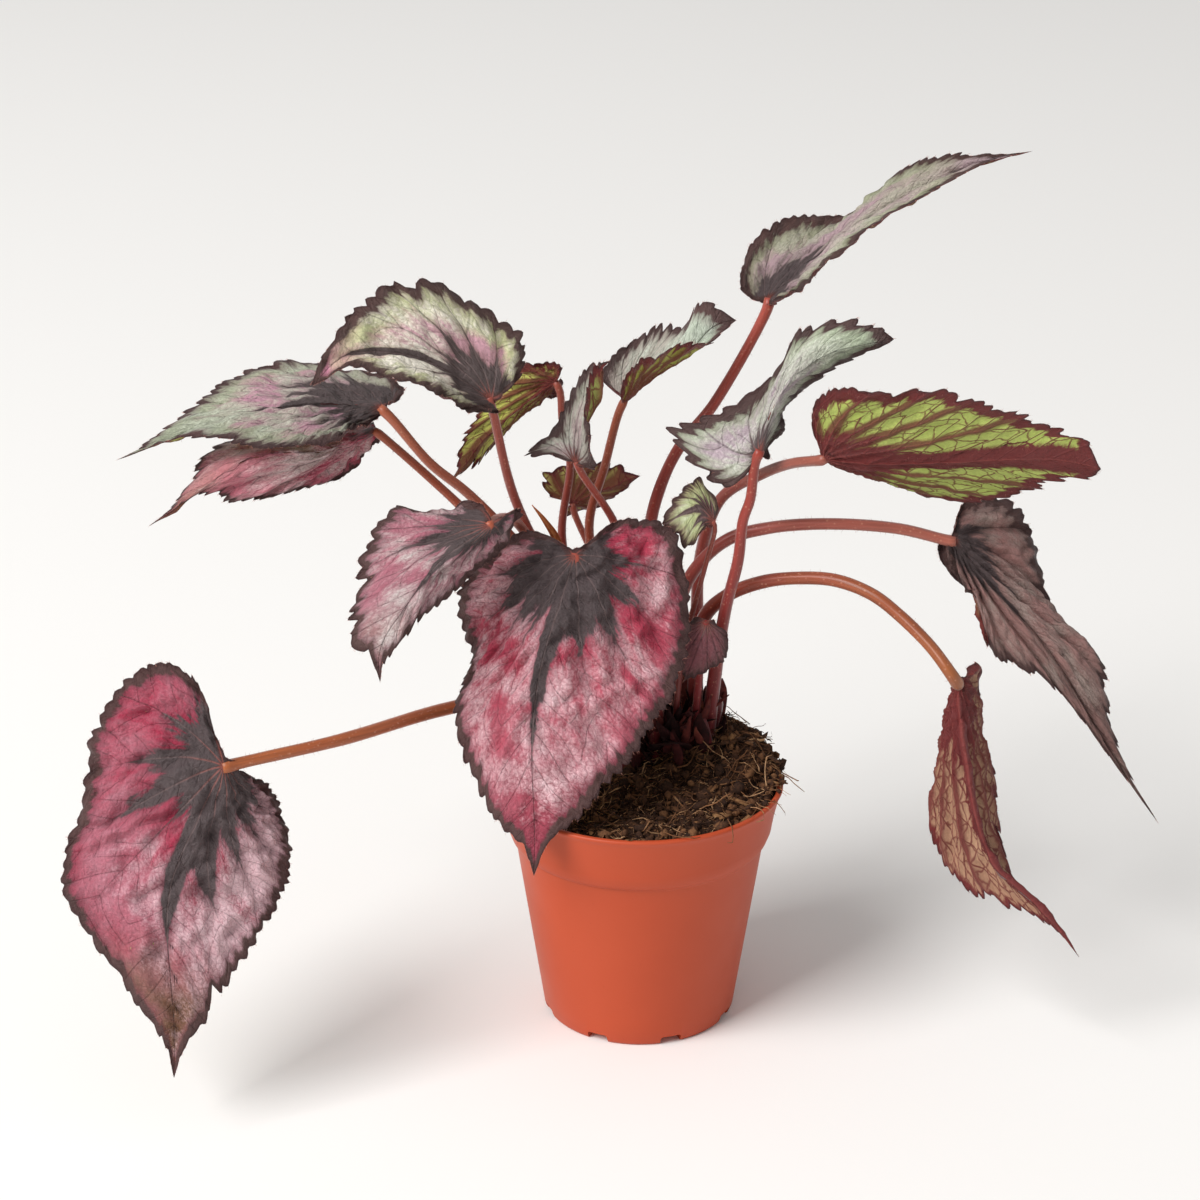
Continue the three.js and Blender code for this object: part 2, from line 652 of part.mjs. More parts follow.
/** Bract: a flat pointed scale beside a stalk. */
function stipule() {
  const curve = new THREE.CatmullRomCurve3(STIPULE.map(([px, py, y]) => seen(px, py, y)));
  const shape = new THREE.Shape();
  shape.absellipse(0, 0, STIPULE_WIDTH, 0.45, 0, 2 * Math.PI);
  const geometry = new THREE.ExtrudeGeometry(shape, {
    steps: 5,
    curveSegments: 3,
    extrudePath: curve,
  });
  return solid(geometry);
}

const stalks = LEAVES.map((leaf) => stalk(leaf, 0));
const clearances = LEAVES.map((leaf) => stalk(leaf, GAP));

let ground = soil().subtract(rhizome(GAP));
let root = rhizome(0);
clearances.forEach((space) => {
  ground = ground.subtract(space);
  root = root.subtract(space);
});

place('pot', pot(), 'pot_plastic');
place('soil', largest(ground), 'potting_soil');
place('rhizome', largest(root), 'rhizome_bark');
LEAVES.forEach((leaf, i) => {
  const stem = largest(stalks[i].subtract(blade(leaf, JOINT_GAP)));
  place(`stalk_${leaf.name}`, stem, 'stalk_red');
  place(`blade_${leaf.name}`, blade(leaf, 0), leaf.slot);
});
place('stipule', largest(stipule().subtract(clearances[STIPULE_STALK])), 'bract_orange');

export default part;
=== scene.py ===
"""Looks of a potted rex begonia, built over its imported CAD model. Metres, +Z up."""

import logging
import math
from dataclasses import dataclass, field
from enum import Enum
from functools import partial
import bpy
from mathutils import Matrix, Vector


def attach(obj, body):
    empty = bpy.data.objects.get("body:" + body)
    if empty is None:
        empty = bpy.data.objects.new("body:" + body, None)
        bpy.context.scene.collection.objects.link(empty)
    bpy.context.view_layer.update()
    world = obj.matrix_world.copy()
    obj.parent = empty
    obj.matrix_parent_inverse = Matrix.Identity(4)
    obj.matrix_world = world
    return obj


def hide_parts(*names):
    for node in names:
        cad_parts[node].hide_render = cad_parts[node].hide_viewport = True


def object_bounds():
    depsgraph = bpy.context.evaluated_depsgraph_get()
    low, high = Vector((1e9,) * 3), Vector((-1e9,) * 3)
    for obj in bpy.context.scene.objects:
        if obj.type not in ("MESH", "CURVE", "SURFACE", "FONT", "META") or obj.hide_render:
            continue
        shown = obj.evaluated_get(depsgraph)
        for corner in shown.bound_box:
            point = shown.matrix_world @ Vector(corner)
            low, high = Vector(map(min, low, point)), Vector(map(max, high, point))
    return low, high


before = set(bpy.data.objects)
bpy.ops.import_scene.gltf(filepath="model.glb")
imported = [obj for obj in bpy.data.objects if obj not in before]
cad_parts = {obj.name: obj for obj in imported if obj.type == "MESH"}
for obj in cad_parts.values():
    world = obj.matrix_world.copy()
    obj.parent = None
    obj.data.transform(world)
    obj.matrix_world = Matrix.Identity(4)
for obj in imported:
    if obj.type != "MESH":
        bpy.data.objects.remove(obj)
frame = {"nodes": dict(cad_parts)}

from types import SimpleNamespace
from typing import Any, Callable, Sequence

import bmesh
import bpy
import numpy as np
from mathutils import Matrix, Vector, noise

log = logging.getLogger("begonia")
CAD_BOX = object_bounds()
MM = 0.001
HAIR_RADIUS = 0.06
BOX_SLACK = 0.08

Array = np.ndarray
Adder = Callable[..., Any]
BMesh = bmesh.types.BMesh
Rng = np.random.Generator
Placed = tuple[Array, float]


class Side(Enum):
    """The two faces of a leaf blade."""

    TOP = "top"
    UNDER = "underside"


# ---------------------------------------------------------------- small tools


def linear(code: str) -> tuple[float, float, float, float]:
    """Linear colour of an sRGB hex code such as 'c8553a'."""
    parts = [int(code[i:i + 2], 16) / 255 for i in (0, 2, 4)]
    red, green, blue = (
        p / 12.92 if p <= 0.04045 else ((p + 0.055) / 1.055) ** 2.4 for p in parts
    )
    return (red, green, blue, 1.0)


def smoothstep(x: Any, low: float, high: float) -> Any:
    """0 below low, 1 above high, and smooth between."""
    t = np.clip((x - low) / (high - low), 0.0, 1.0)
    return t * t * (3.0 - 2.0 * t)


def soft_abs(x: Array, ease: float = 0.025) -> Array:
    """Absolute value with a rounded crease."""
    return np.sqrt(x * x + ease * ease) - ease


def unit(vectors: Array) -> Array:
    """Rows scaled to length 1."""
    length = np.linalg.norm(vectors, axis=-1, keepdims=True)
    return vectors / np.maximum(length, 1e-12)


def wander(x: Array, seed: float, octaves: int = 2) -> Array:
    """Smooth seeded noise of one variable, about -1 to 1."""
    total = np.zeros_like(x)
    for k in range(octaves):
        pitch = 2.0 ** k
        total += np.sin(x * pitch * 1.0 + seed * (k + 1.3)) * 0.5 ** k
        total += np.sin(x * pitch * 1.618 + seed * 2.7 * (k + 1)) * 0.5 ** k
    return total / 3.0


def strides(path: Array) -> Array:
    """Distances between the neighbouring points of a path."""
    return np.linalg.norm(np.diff(path, axis=0), axis=1)


def curve_part(ends: Array, steps: int) -> Array:
    """The part between the middle two of four points of a centripetal curve, ends included."""
    a, b, c, d = ends
    t1 = max(np.linalg.norm(b - a) ** 0.5, 1e-6)
    t2 = t1 + max(np.linalg.norm(c - b) ** 0.5, 1e-6)
    t3 = t2 + max(np.linalg.norm(d - c) ** 0.5, 1e-6)
    t = np.linspace(t1, t2, steps + 1)[:, None]
    a1 = (t1 - t) / t1 * a + t / t1 * b
    a2 = (t2 - t) / (t2 - t1) * b + (t - t1) / (t2 - t1) * c
    a3 = (t3 - t) / (t3 - t2) * c + (t - t2) / (t3 - t2) * d
    b1 = (t2 - t) / t2 * a1 + t / t2 * a2
    b2 = (t3 - t) / (t3 - t1) * a2 + (t - t1) / (t3 - t1) * a3
    return (t2 - t) / (t2 - t1) * b1 + (t - t1) / (t2 - t1) * b2


def spline(points: Array, count: int) -> Array:
    """Centripetal Catmull-Rom curve through points.

    Args:
        points: the points passed through, one a row.
        count: how many points to return.

    Returns:
        Points evenly spaced along the curve.
    """
    ends = np.vstack([2 * points[0] - points[1], points, 2 * points[-1] - points[-2]])
    parts = [curve_part(ends[i:i + 4], 24)[:-1] for i in range(len(points) - 1)]
    path = np.vstack([*parts, points[-1:]])
    walked = np.r_[0.0, np.cumsum(strides(path))]
    wanted = np.linspace(0.0, walked[-1], count)
    return np.stack([np.interp(wanted, walked, path[:, k]) for k in range(3)], axis=1)


@dataclass
class Laid:
    """Where a grid's points are laid: places in mm, flat pattern places and other values."""

    places: Array
    flat: Array | None = None
    values: dict[str, Array] = field(default_factory=dict)


def finished(name: str, bm: BMesh, materials: Sequence[bpy.types.Material]) -> Any:
    """Turn a bmesh into a smooth-shaded object at the origin, and free the bmesh."""
    for face in bm.faces:
        face.smooth = True
    mesh = bpy.data.meshes.new(name)
    bm.to_mesh(mesh)
    bm.free()
    for material in materials:
        mesh.materials.append(material)
    piece = bpy.data.objects.new(name, mesh)
    bpy.context.scene.collection.objects.link(piece)
    return piece


def skin(
    columns: int,
    rows: int,
    lay: Callable[[Array, Array], Laid],
    under_from: float = 2.0,
) -> BMesh:
    """Lay a grid over a closed form and weld its seam and poles.

    Args:
        columns: faces round the form.
        rows: faces from one pole to the other.
        lay: gives the places for the grid's two coordinates, each from 0 to 1.
        under_from: row coordinate from which faces take the second material.

    Returns:
        The bmesh, in metres, with its faces outwards.
    """
    bm = bmesh.new()
    bmesh.ops.create_grid(bm, x_segments=columns, y_segments=rows, size=0.5)
    bm.verts.index_update()
    grid = np.array([v.co[:2] for v in bm.verts]) + 0.5
    laid = lay(np.round(grid[:, 0] * columns) / columns, np.round(grid[:, 1] * rows) / rows)
    for face in bm.faces:
        middle = sum(v.co.y for v in face.verts) / len(face.verts) + 0.5
        face.material_index = 1 if middle > under_from else 0
    if laid.flat is not None:
        uv = bm.loops.layers.uv.new("flat")
        flat = laid.flat.tolist()
        for face in bm.faces:
            for loop in face.loops:
                loop[uv].uv = flat[loop.vert.index]
    layers = [(bm.verts.layers.float.new(key), v.tolist()) for key, v in laid.values.items()]
    for vert, place in zip(bm.verts, (laid.places * MM).tolist()):
        vert.co = place
        for layer, values in layers:
            vert[layer] = values[vert.index]
    bmesh.ops.remove_doubles(bm, verts=bm.verts, dist=1e-6)
    if bm.calc_volume(signed=True) < 0:
        bmesh.ops.reverse_faces(bm, faces=bm.faces)
    return bm


def tube(
    path: Array, radii: Array, sides: int, ridges: tuple[int, float] = (0, 0.0)
) -> Callable[[Array, Array], Laid]:
    """Layout of a closed tube round a path.

    Args:
        path: points along its middle, in mm.
        radii: its radius at each point.
        sides: faces round it.
        ridges: how many shallow ridges run along it, and their height as a share of the radius.

    Returns:
        A layout for skin(), whose flat places are mm along and the turn round it.
    """
    steps = len(path) - 1
    ahead = unit(np.gradient(path, axis=0))
    across = np.zeros_like(path)
    across[0] = unit(np.cross(ahead[0], [0.31, 0.22, 0.92]))
    for i in range(1, len(path)):
        across[i] = unit(across[i - 1] - ahead[i] * (across[i - 1] @ ahead[i]))
    beside = np.cross(ahead, across)
    walked = np.r_[0.0, np.cumsum(strides(path))]

    def lay(turn: Array, along: Array) -> Laid:
        row = np.round(along * (steps + 2)).astype(int)
        index = np.clip(row - 1, 0, steps)
        end = (row == 0) | (row == steps + 2)
        angle = 2 * math.pi * (np.round(turn * sides) % sides) / sides
        radius = radii[index] * (1 + ridges[1] * np.cos(ridges[0] * angle))
        radius = np.where(end, 0.0, radius)[:, None]
        places = path[index] + radius * (
            across[index] * np.cos(angle)[:, None] + beside[index] * np.sin(angle)[:, None]
        )
        return Laid(places, np.stack([walked[index], turn], axis=1), {"along": walked[index]})

    return lay


def strew(
    shapes: Sequence[BMesh], count: int, place: Callable[[Array], Placed]
) -> BMesh:
    """Join many moved copies of a few small shapes.

    Args:
        shapes: the shapes, taken in turn.
        count: how many copies to make.
        place: gives the points of a copy in mm, and its tone, from those of its shape.

    Returns:
        The bmesh, in metres, with the attribute 'tone'.
    """
    meshes, clouds = [], []
    for shape in shapes:
        mesh = bpy.data.meshes.new("shape")
        shape.to_mesh(mesh)
        meshes.append(mesh)
        clouds.append(np.array([v.co[:] for v in mesh.vertices]))
    bm = bmesh.new()
    tone = bm.verts.layers.float.new("tone")
    for k in range(count):
        start = len(bm.verts)
        bm.from_mesh(meshes[k % len(meshes)])
        bm.verts.ensure_lookup_table()
        places, shade = place(clouds[k % len(clouds)])
        for i, spot in enumerate((places * MM).tolist()):
            vert = bm.verts[start + i]
            vert.co = spot
            vert[tone] = shade
    bmesh.ops.recalc_face_normals(bm, faces=bm.faces)
    for mesh in meshes:
        bpy.data.meshes.remove(mesh)
    return bm


def within_box(places: Array, slack: float = BOX_SLACK) -> Array:
    """Places in mm, moved inside the CAD box less a slack in mm."""
    low, high = np.array(CAD_BOX, float) / MM
    return np.clip(places, low + slack * np.array([1, 1, 0]), high - slack)


def add_hairs(
    bm: BMesh, roots: Array, ways: Array, length: float, seed: int, index: int
) -> None:
    """Add fine hairs, each a drawn-out tetrahedron.

    Args:
        bm: the bmesh that takes them, in metres.
        roots: where they stand, in mm.
        ways: the unit vectors that they point along.
        length: their mean length in mm.
        seed: seed of their lengths and leanings.
        index: index of their material.
    """
    draw = np.random.default_rng(seed)
    crop = bmesh.new()
    for root, way in zip(roots, unit(ways + draw.normal(size=ways.shape) * 0.25)):
        size = length * draw.uniform(0.5, 1.3)
        if np.any(within_box(root + way * size) != root + way * size):
            continue
        turn = Vector(way).to_track_quat("Z", "Y").to_matrix().to_4x4()
        spot = Matrix.Translation(Vector(root + way * size * 0.45) * MM) @ turn
        bmesh.ops.create_cone(crop, cap_ends=True, segments=3, radius1=HAIR_RADIUS * MM,
                              radius2=0.0, depth=size * MM, matrix=spot)
    for face in crop.faces:
        face.material_index = index
    mesh = bpy.data.meshes.new("hairs")
    crop.to_mesh(mesh)
    crop.free()
    bm.from_mesh(mesh)
    bpy.data.meshes.remove(mesh)


# ---------------------------------------------------------------- the view


@dataclass(frozen=True)
class View:
    """The photograph's camera, in mm: level, pitched down, 1200 px frame."""

    place: tuple[float, float, float] = (-16.5, -1200.0, 692.1)
    pitch: float = 22.94
    focal: float = 3221.0
    frame: float = 1200.0
    sensor: float = 36.0

    def seen(self, px: Any, py: Any, depth: Any) -> Array:
        """Points at Y = depth that the frame shows at these pixels, in mm."""
        turn = math.radians(self.pitch)
        right = (np.asarray(px, float) - self.frame / 2) / self.focal
        up = (self.frame / 2 - np.asarray(py, float)) / self.focal
        ray_y = math.cos(turn) + up * math.sin(turn)
        ray_z = -math.sin(turn) + up * math.cos(turn)
        x0, y0, z0 = self.place
        reach = (np.asarray(depth, float) - y0) / ray_y
        return np.stack([x0 + reach * right, y0 + reach * ray_y, z0 + reach * ray_z], axis=-1)

    def build(self) -> None:
        """Make the scene's camera."""
        data = bpy.data.cameras.new("camera")
        data.sensor_width = self.sensor
        data.lens = self.sensor * self.focal / self.frame
        data.clip_start = 0.05
        data.clip_end = 20.0
        camera = bpy.data.objects.new("camera", data)
        camera.location = [value * MM for value in self.place]
        camera.rotation_euler = (math.radians(90 - self.pitch), 0.0, 0.0)
        bpy.context.scene.collection.objects.link(camera)
        bpy.context.scene.camera = camera


VIEW = View()


# ---------------------------------------------------------------- leaf data


@dataclass(frozen=True)
class Tint:
    """Colours of a leaf as sRGB hex codes, and its pattern.

    star_left and star_right are how far the dark centre reaches along the main veins of each side,
    as shares of the blade's length. rim_width and keel are mm, the width of the dark margin and of
    the red band along the midrib below. pleat is how much the panels between main veins bulge and
    crumple how much the skin between the finer veins does. net is the mm of the finest cells below,
    net_width the width of their walls as a share of it. warm is the mm that the main veins keep the
    stalk's colour. halo is the colour that the dark centre and margin fade through, brim how much
    of the outer colour follows the margin, root how much red stands round the joint below.
    tilt is painted sheen: how much more pearly the leaf's left is than its right, a
    painted highlight on the side that catches the light.
    """

    inner: str
    outer: str
    tip: str
    pearl: str
    dark: str
    rim: str
    cell: str = "a7b152"
    cell_pale: str = "c3c47a"
    red: str = "742a2c"
    star: float = 1.0
    star_left: tuple[float, ...] = (0.6, 0.36, 0.3, 0.27, 0.25, 0.24)
    star_right: tuple[float, ...] = (0.6, 0.36, 0.3, 0.27, 0.25, 0.24)
    rim_width: float = 4.0
    pearly: float = 0.5
    pleat: float = 1.0
    crumple: float = 1.0
    keel: float = 0.0
    net: float = 5.2
    net_width: float = 0.06
    warm: float = 7.0
    halo: str = "6b4a48"
    # Painted sheen: extra pearl on one side of the leaf, a painted highlight where that side
    # catches the light.
    tilt: float = 0.0
    brim: float = 0.0
    root: float = 0.0


@dataclass(frozen=True)
class Leaf:
    """A leaf: pixels of its tip, joint, midrib and margins, its depths, stalk and tint.

    The margin is read from the tip to the basal lobe. depth is the Y in mm of the joint, then its
    change per blade length towards the tip, the left and the right margin, then bow and droop.
    stalk is [px, px, Y mm] from the blade down, foot is X and Y in the soil, radius is mm at the
    top and at the foot. drip is how far the tip is drawn out, teeth scales the teeth's depth and
    lobes that of the broad waves they stand on.
    """

    name: str
    slot: str
    tip: tuple
    joint: tuple
    rib: tuple
    left: tuple
    right: tuple
    depth: tuple
    stalk: tuple
    foot: tuple
    radius: tuple
    tint: Tint
    stalk_tint: tuple[str, str] = ("84262a", "a04a3a")
    drip: float = 0.5
    teeth: float = 1.0
    lobes: float = 0.7


LEAVES = (
    Leaf(
        "01", "blade_crimson", (174, 1078), (223, 766), ((176, 868), (169, 962)),
        ((212, 1015), (256, 946), (288, 888), (291, 835), (272, 788), (240, 767)),
        ((125, 991), (60, 887), (80, 795), (95, 715), (150, 661), (200, 684)),
        (-72, -38, 15, 15, 30, 0),
        ((232, 765, -69), (340, 740, -48), (450, 708, -14), (560, 690, 6)),
        (-15, 12), (2.3, 3.0),
        # Leaf 1's left is painted more pearly than its right: a painted sheen on the side that
        # catches the light.
        Tint("ae304c", "c58290", "7c5640", "e2bcc2", "423536", "43292a", rim_width=4.6,
             star_left=(0.6, 0.44, 0.32, 0.3, 0.34, 0.4),
             star_right=(0.6, 0.24, 0.34, 0.28, 0.25, 0.26),
             pearly=0.65, pleat=1.2, warm=24, halo="6c2636", tilt=1.7),
        ("93422a", "a65c32"),
    ),
    Leaf(
        "02", "blade_crimson", (534, 876), (574, 556), ((545, 650), (532, 760)),
        ((588, 813), (645, 747), (682, 680), (693, 612), (674, 529), (622, 518)),
        ((489, 816), (452, 722), (467, 664), (456, 600), (484, 555), (527, 530)),
        (-22, -40, 20, 20, 20, 0),
        ((582, 562, -14), (625, 630, 0), (655, 700, 8)),
        (7, 13), (2.3, 3.0),
        # Leaf 2's right is painted a little more pearly than its left: a painted sheen.
        Tint("bd3a54", "cf8490", "a84456", "f0cacf", "342627", "472d2e", rim_width=5.0,
             star_left=(0.6, 0.34, 0.3, 0.27, 0.25, 0.22),
             star_right=(0.6, 0.26, 0.28, 0.32, 0.3, 0.26),
             pearly=0.76, pleat=1.1, halo="782438", tilt=-0.1),
    ),
    Leaf(
        "03", "blade_crimson", (380, 682), (490, 525), ((440, 562), (400, 615)),
        ((395, 652), (428, 616), (462, 587), (491, 561), (513, 535), (521, 507)),
        ((346, 640), (351, 600), (360, 548), (390, 506), (430, 517), (470, 500)),
        (-38, -28, 6, 14, 20, 0),
        ((495, 520, -27), (507, 518, -11), (520, 526, 1), (572, 606, 6), (622, 700, 8)),
        (-5, 14), (1.8, 2.6),
        Tint("b86e7e", "c4969c", "ac8080", "dcd0cc", "453837", "453434",
             star_left=(0.56, 0.3, 0.22, 0.22, 0.24, 0.26),
             star_right=(0.56, 0.28, 0.34, 0.24, 0.3, 0.3),
             pearly=0.65, crumple=0.7, warm=14, halo="704450"),
        ("8c3a30", "a65238"),
        teeth=1.1,
    ),
    Leaf(
        "04", "blade_silver", (311, 385), (490, 398), ((419, 358), (350, 354)),
        ((345, 370), (395, 382), (433, 392), (456, 407), (476, 413), (498, 414)),
        ((333, 336), (364, 295), (415, 275), (472, 297), (522, 332), (525, 372)),
        (-14, -22, -45, 28, 0, 0),
        ((493, 412, -10), (515, 499, 7), (560, 590, 14), (620, 690, 20)),
        (-1, 23), (1.7, 2.5),
        Tint("dca8b4", "d6d8a6", "e094b0", "fbf3e4", "473832", "40322d", rim_width=4.4,
             star_left=(0.74, 0.24, 0.24, 0.3, 0.28, 0.28),
             star_right=(0.74, 0.25, 0.3, 0.26, 0.23, 0.22),
             pearly=0.9, crumple=0.7, halo="6b5038", brim=0.8),
        ("8e3a30", "9c4a3c"),
        drip=-0.8, teeth=1.2,
    ),
    Leaf(
        "05", "blade_silver", (117, 460), (381, 407), ((310, 404), (215, 421)),
        ((165, 442), (220, 442), (272, 450), (323, 444), (352, 433), (374, 420)),
        ((152, 436), (196, 400), (239, 371), (300, 361), (365, 371), (406, 388)),
        (-5, -10, -50, 64, 0, 0),
        ((392, 419, -6), (430, 463, -2), (471, 496, 4), (556, 590, 18), (606, 680, 26)),
        (-8, 31), (1.8, 2.6),
        Tint("c896a6", "b0b498", "a6ac94", "d0d4c2", "3d3432", "46393a",
             star_left=(0.6, 0.3, 0.26, 0.27, 0.28, 0.3),
             star_right=(0.6, 0.36, 0.34, 0.32, 0.32, 0.32),
             pearly=0.65, crumple=0.7, halo="7c5f66", brim=0.6),
        ("94402e", "a85c40"),
    ),
    Leaf(
        "06", "blade_crimson", (149, 526), (375, 430), ((318, 452), (240, 462)),
        ((190, 499), (228, 504), (279, 496), (320, 486), (354, 467), (373, 446)),
        ((175, 500), (203, 452), (250, 438), (310, 428), (352, 424), (372, 425)),
        (2, -30, -14, 60, 0, 0),
        ((384, 438, 4), (432, 480, 8), (466, 512, 9), (536, 590, 10), (588, 680, 16)),
        (-13, 22), (1.6, 2.5),
        Tint("ce5a72", "dea2aa", "b07a70", "eed6d4", "422c2d", "402829", star=0.28,
             rim_width=2.6, pearly=0.8, pleat=1.7, crumple=0.6, halo="7c2c3a"),
        ("943c2c", "a6563a"),
    ),
    Leaf(
        "07", "blade_green", (450, 482), (556, 381), ((522, 405), (483, 440)),
        ((456, 450), (468, 425), (480, 395), (505, 370), (540, 360), (562, 366)),
        ((474, 470), (490, 450), (505, 432), (527, 411), (550, 399), (563, 387)),
        (38, 6, 5, 30, 0, 0),
        ((560, 392, 38), (562, 420, 38), (570, 463, 37), (562, 539, 35), (590, 640, 35)),
        (3, 35), (1.4, 2.3),
        # The underside cells' yellow-green is their own, made lighter as painted light so the
        # underside looks lit in its shade.
        Tint("aab59a", "b9c2a8", "9c8f88", "d3d8cc", "4a3c3a", "4b3c3a", cell="ccd25c",
             cell_pale="e0e080", red="6b231c", star=0.5, rim_width=3.2, keel=1.0, crumple=0.5,
             net=4.8),
        ("8a2c28", "9a4a3a"),
        teeth=1.2,
    ),
    Leaf(
        "08", "blade_silver", (610, 361), (576, 462), ((584, 428), (602, 390)),
        ((597, 358), (580, 370), (566, 398), (553, 425), (519, 459), (552, 457)),
        ((592, 366), (586, 386), (586, 404), (587, 422), (591, 447), (595, 472)),
        (4, 6, 20, -25, 0, 0),
        ((582, 474, 6), (614, 522, 10), (638, 600, 17), (650, 680, 21)),
        (8, 23), (1.4, 2.3),
        Tint("c0aaa8", "c6d0ba", "bfc8b4", "e6eade", "47393a", "473b3a", star=0.36,
             rim_width=5.4, crumple=0.5, brim=0.4),
        ("8a2c28", "9a4234"),
        drip=0.1, teeth=1.3,
    ),
    Leaf(
        "09", "blade_silver", (736, 320), (624, 400), ((655, 376), (694, 348)),
        ((703, 296), (690, 318), (663, 322), (640, 333), (612, 354), (602, 376)),
        ((718, 340), (690, 340), (662, 352), (640, 360), (628, 368), (621, 390)),
        (30, 14, 50, -40, 0, 0),
        ((618, 415, 32), (605, 465, 33), (589, 528, 33), (612, 620, 33)),
        (11, 32), (1.6, 2.5),
        Tint("cabeb4", "c4d0ba", "bcc8b2", "eaf0e2", "4a3e3b", "443837", cell="b4bc44",
             cell_pale="c0c05a", red="6f1c1a", star=0.28, rim_width=4.7, keel=2.0, crumple=0.5),
        ("8e3428", "9c5036"),
        drip=-0.3,
    ),
    Leaf(
        "10", "blade_crimson", (1033, 151), (768, 299), ((845, 235), (935, 182)),
        ((955, 152), (900, 170), (855, 211), (800, 213), (752, 240), (740, 290)),
        ((985, 164), (918, 200), (866, 232), (832, 261), (806, 282), (784, 299)),
        (52, 6, 45, -65, 0, 0),
        ((768, 307, 52), (714, 404, 48), (679, 448, 45), (660, 488, 43), (650, 530, 41),
         (654, 620, 39)),
        (17, 38), (2.1, 3.0),
        Tint("c2a4aa", "b0b492", "bea4a8", "d4ccc0", "3f3432", "3d2f2b", star=0.8,
             rim_width=5.2, pearly=0.45, pleat=1.1, crumple=0.5, halo="5c4a40", brim=0.6),
        ("8e3430", "a04638"),
    ),
    Leaf(
        "11", "blade_silver", (894, 339), (760, 452), ((784, 391), (835, 352)),
        ((868, 319), (805, 324), (776, 368), (715, 409), (663, 432), (722, 488)),
        ((858, 358), (818, 382), (796, 396), (784, 410), (781, 434), (769, 450)),
        (-8, 4, 20, 45, 0, 0),
        ((755, 462, -6), (750, 500, -4), (743, 520, -3), (738, 560, 0), (724, 616, 8)),
        (27, 16), (1.9, 3.0),
        Tint("c4b0b8", "bfcbaa", "b8c4a8", "e6e8da", "483c3a", "453938", star=0.42,
             rim_width=6.0, pearly=0.65, crumple=0.5, halo="6f6258", brim=0.5),
        ("7c2224", "9a3c2e"),
        drip=-0.4, teeth=1.3,
    ),
    Leaf(
        "12", "blade_green", (1101, 469), (825, 458), ((912, 463), (1005, 459)),
        ((1066, 482), (1030, 493), (975, 504), (930, 497), (893, 476), (855, 466)),
        ((1064, 427), (1006, 408), (950, 389), (895, 391), (840, 386), (812, 408)),
        (-22, -6, 30, -30, 0, 0),
        ((821, 460, -20), (793, 463, -6), (762, 474, 12), (720, 500, 29), (700, 560, 35),
         (697, 630, 36)),
        (24, 34), (2.0, 2.9),
        Tint("a9959a", "b4bda6", "a58f92", "cfd3c8", "4f4746", "4d4442", cell="b0c256",
             cell_pale="c6cf78", red="54171b", star=0.8, rim_width=6.6, pleat=0.7, crumple=0.3,
             root=0.6, keel=7.5, net=7.6, net_width=0.075),
        ("8a302e", "945242"),
        drip=-1.0, lobes=1.2,
    ),
    Leaf(
        "13", "blade_silver", (1159, 824), (955, 540), ((1010, 605), (1075, 690)),
        ((1116, 735), (1103, 658), (1056, 615), (1040, 550), (1012, 500), (965, 500)),
        ((1100, 745), (1045, 683), (992, 655), (983, 605), (955, 580), (938, 548)),
        (12, -14, 35, -15, 0, 0),
        ((950, 541, 13), (900, 529, 15), (831, 524, 17), (769, 528, 20), (725, 541, 23),
         (688, 580, 25), (670, 650, 23)),
        (15, 20), (2.2, 3.0),
        Tint("b58680", "8f706a", "7e5c56", "c4b0a6", "3f2e2c", "352524", cell="8a5a3e",
             cell_pale="8e6044", red="74241f", star=0.75, rim_width=4.4, pleat=2.6,
             crumple=0.45, halo="5e4642"),
        ("8e3232", "a8604e"),
        lobes=2.2,
    ),
    Leaf(
        "14", "blade_green", (1079, 957), (959, 684), ((968, 770), (1000, 870)),
        ((1036, 919), (970, 894), (933, 846), (936, 797), (947, 748), (954, 702)),
        ((1030, 898), (1006, 855), (998, 803), (988, 756), (974, 708), (980, 662)),
        (-34, -24, 30, 45, 0, 0),
        ((951, 674, -38), (931, 647, -30), (900, 616, -19), (873, 595, -12), (838, 581, -4),
         (804, 578, 3), (763, 582, 10), (725, 597, 15), (702, 622, 17)),
        (23, 22), (2.4, 3.1),
        Tint("866a6a", "8a7070", "806464", "a8988f", "523f3e", "423536", cell="aa7a62",
             cell_pale="cfa584", red="6c2026", star=0.9, pleat=2.6, crumple=0.4,
             keel=9.0, net=5.6, net_width=0.14),
        ("862c28", "98582f"),
        drip=0.35, teeth=1.2,
    ),
    Leaf(
        "15", "blade_green", (640, 476), (572, 503), ((595, 492), (618, 484)),
        ((627, 489), (612, 500), (597, 508), (580, 513), (562, 514), (562, 508)),
        ((622, 464), (600, 459), (580, 459), (558, 463), (541, 475), (547, 495)),
        (58, 6, 10, -6, 0, 0),
        ((574, 512, 58), (600, 570, 54), (636, 660, 48)),
        (10, 43), (1.3, 2.1),
        # The underside cells' yellow-green is their own, made lighter as painted light so the
        # underside looks lit in its shade.
        Tint("a9a88a", "b4bda6", "a58f7a", "cfd3c8", "4f3a36", "4d2f2c", cell="d8d470",
             cell_pale="e8e490", red="771f24", star=0.2, rim_width=2.4, crumple=0.5),
        ("8a2c28", "9a4a3a"),
        drip=0.2, teeth=1.2,
    ),
    Leaf(
        "16", "blade_green", (662, 524), (713, 521), ((699, 508), (682, 514)),
        ((672, 537), (686, 551), (697, 540), (702, 530), (706, 522), (712, 527)),
        ((665, 508), (676, 493), (690, 480), (701, 477), (712, 492), (719, 510)),
        (4, -4, -8, 16, 0, 0),
        ((715, 528, 5), (707, 560, 7), (695, 603, 9), (685, 640, 11), (677, 700, 10)),
        (15, 8), (0.9, 1.5),
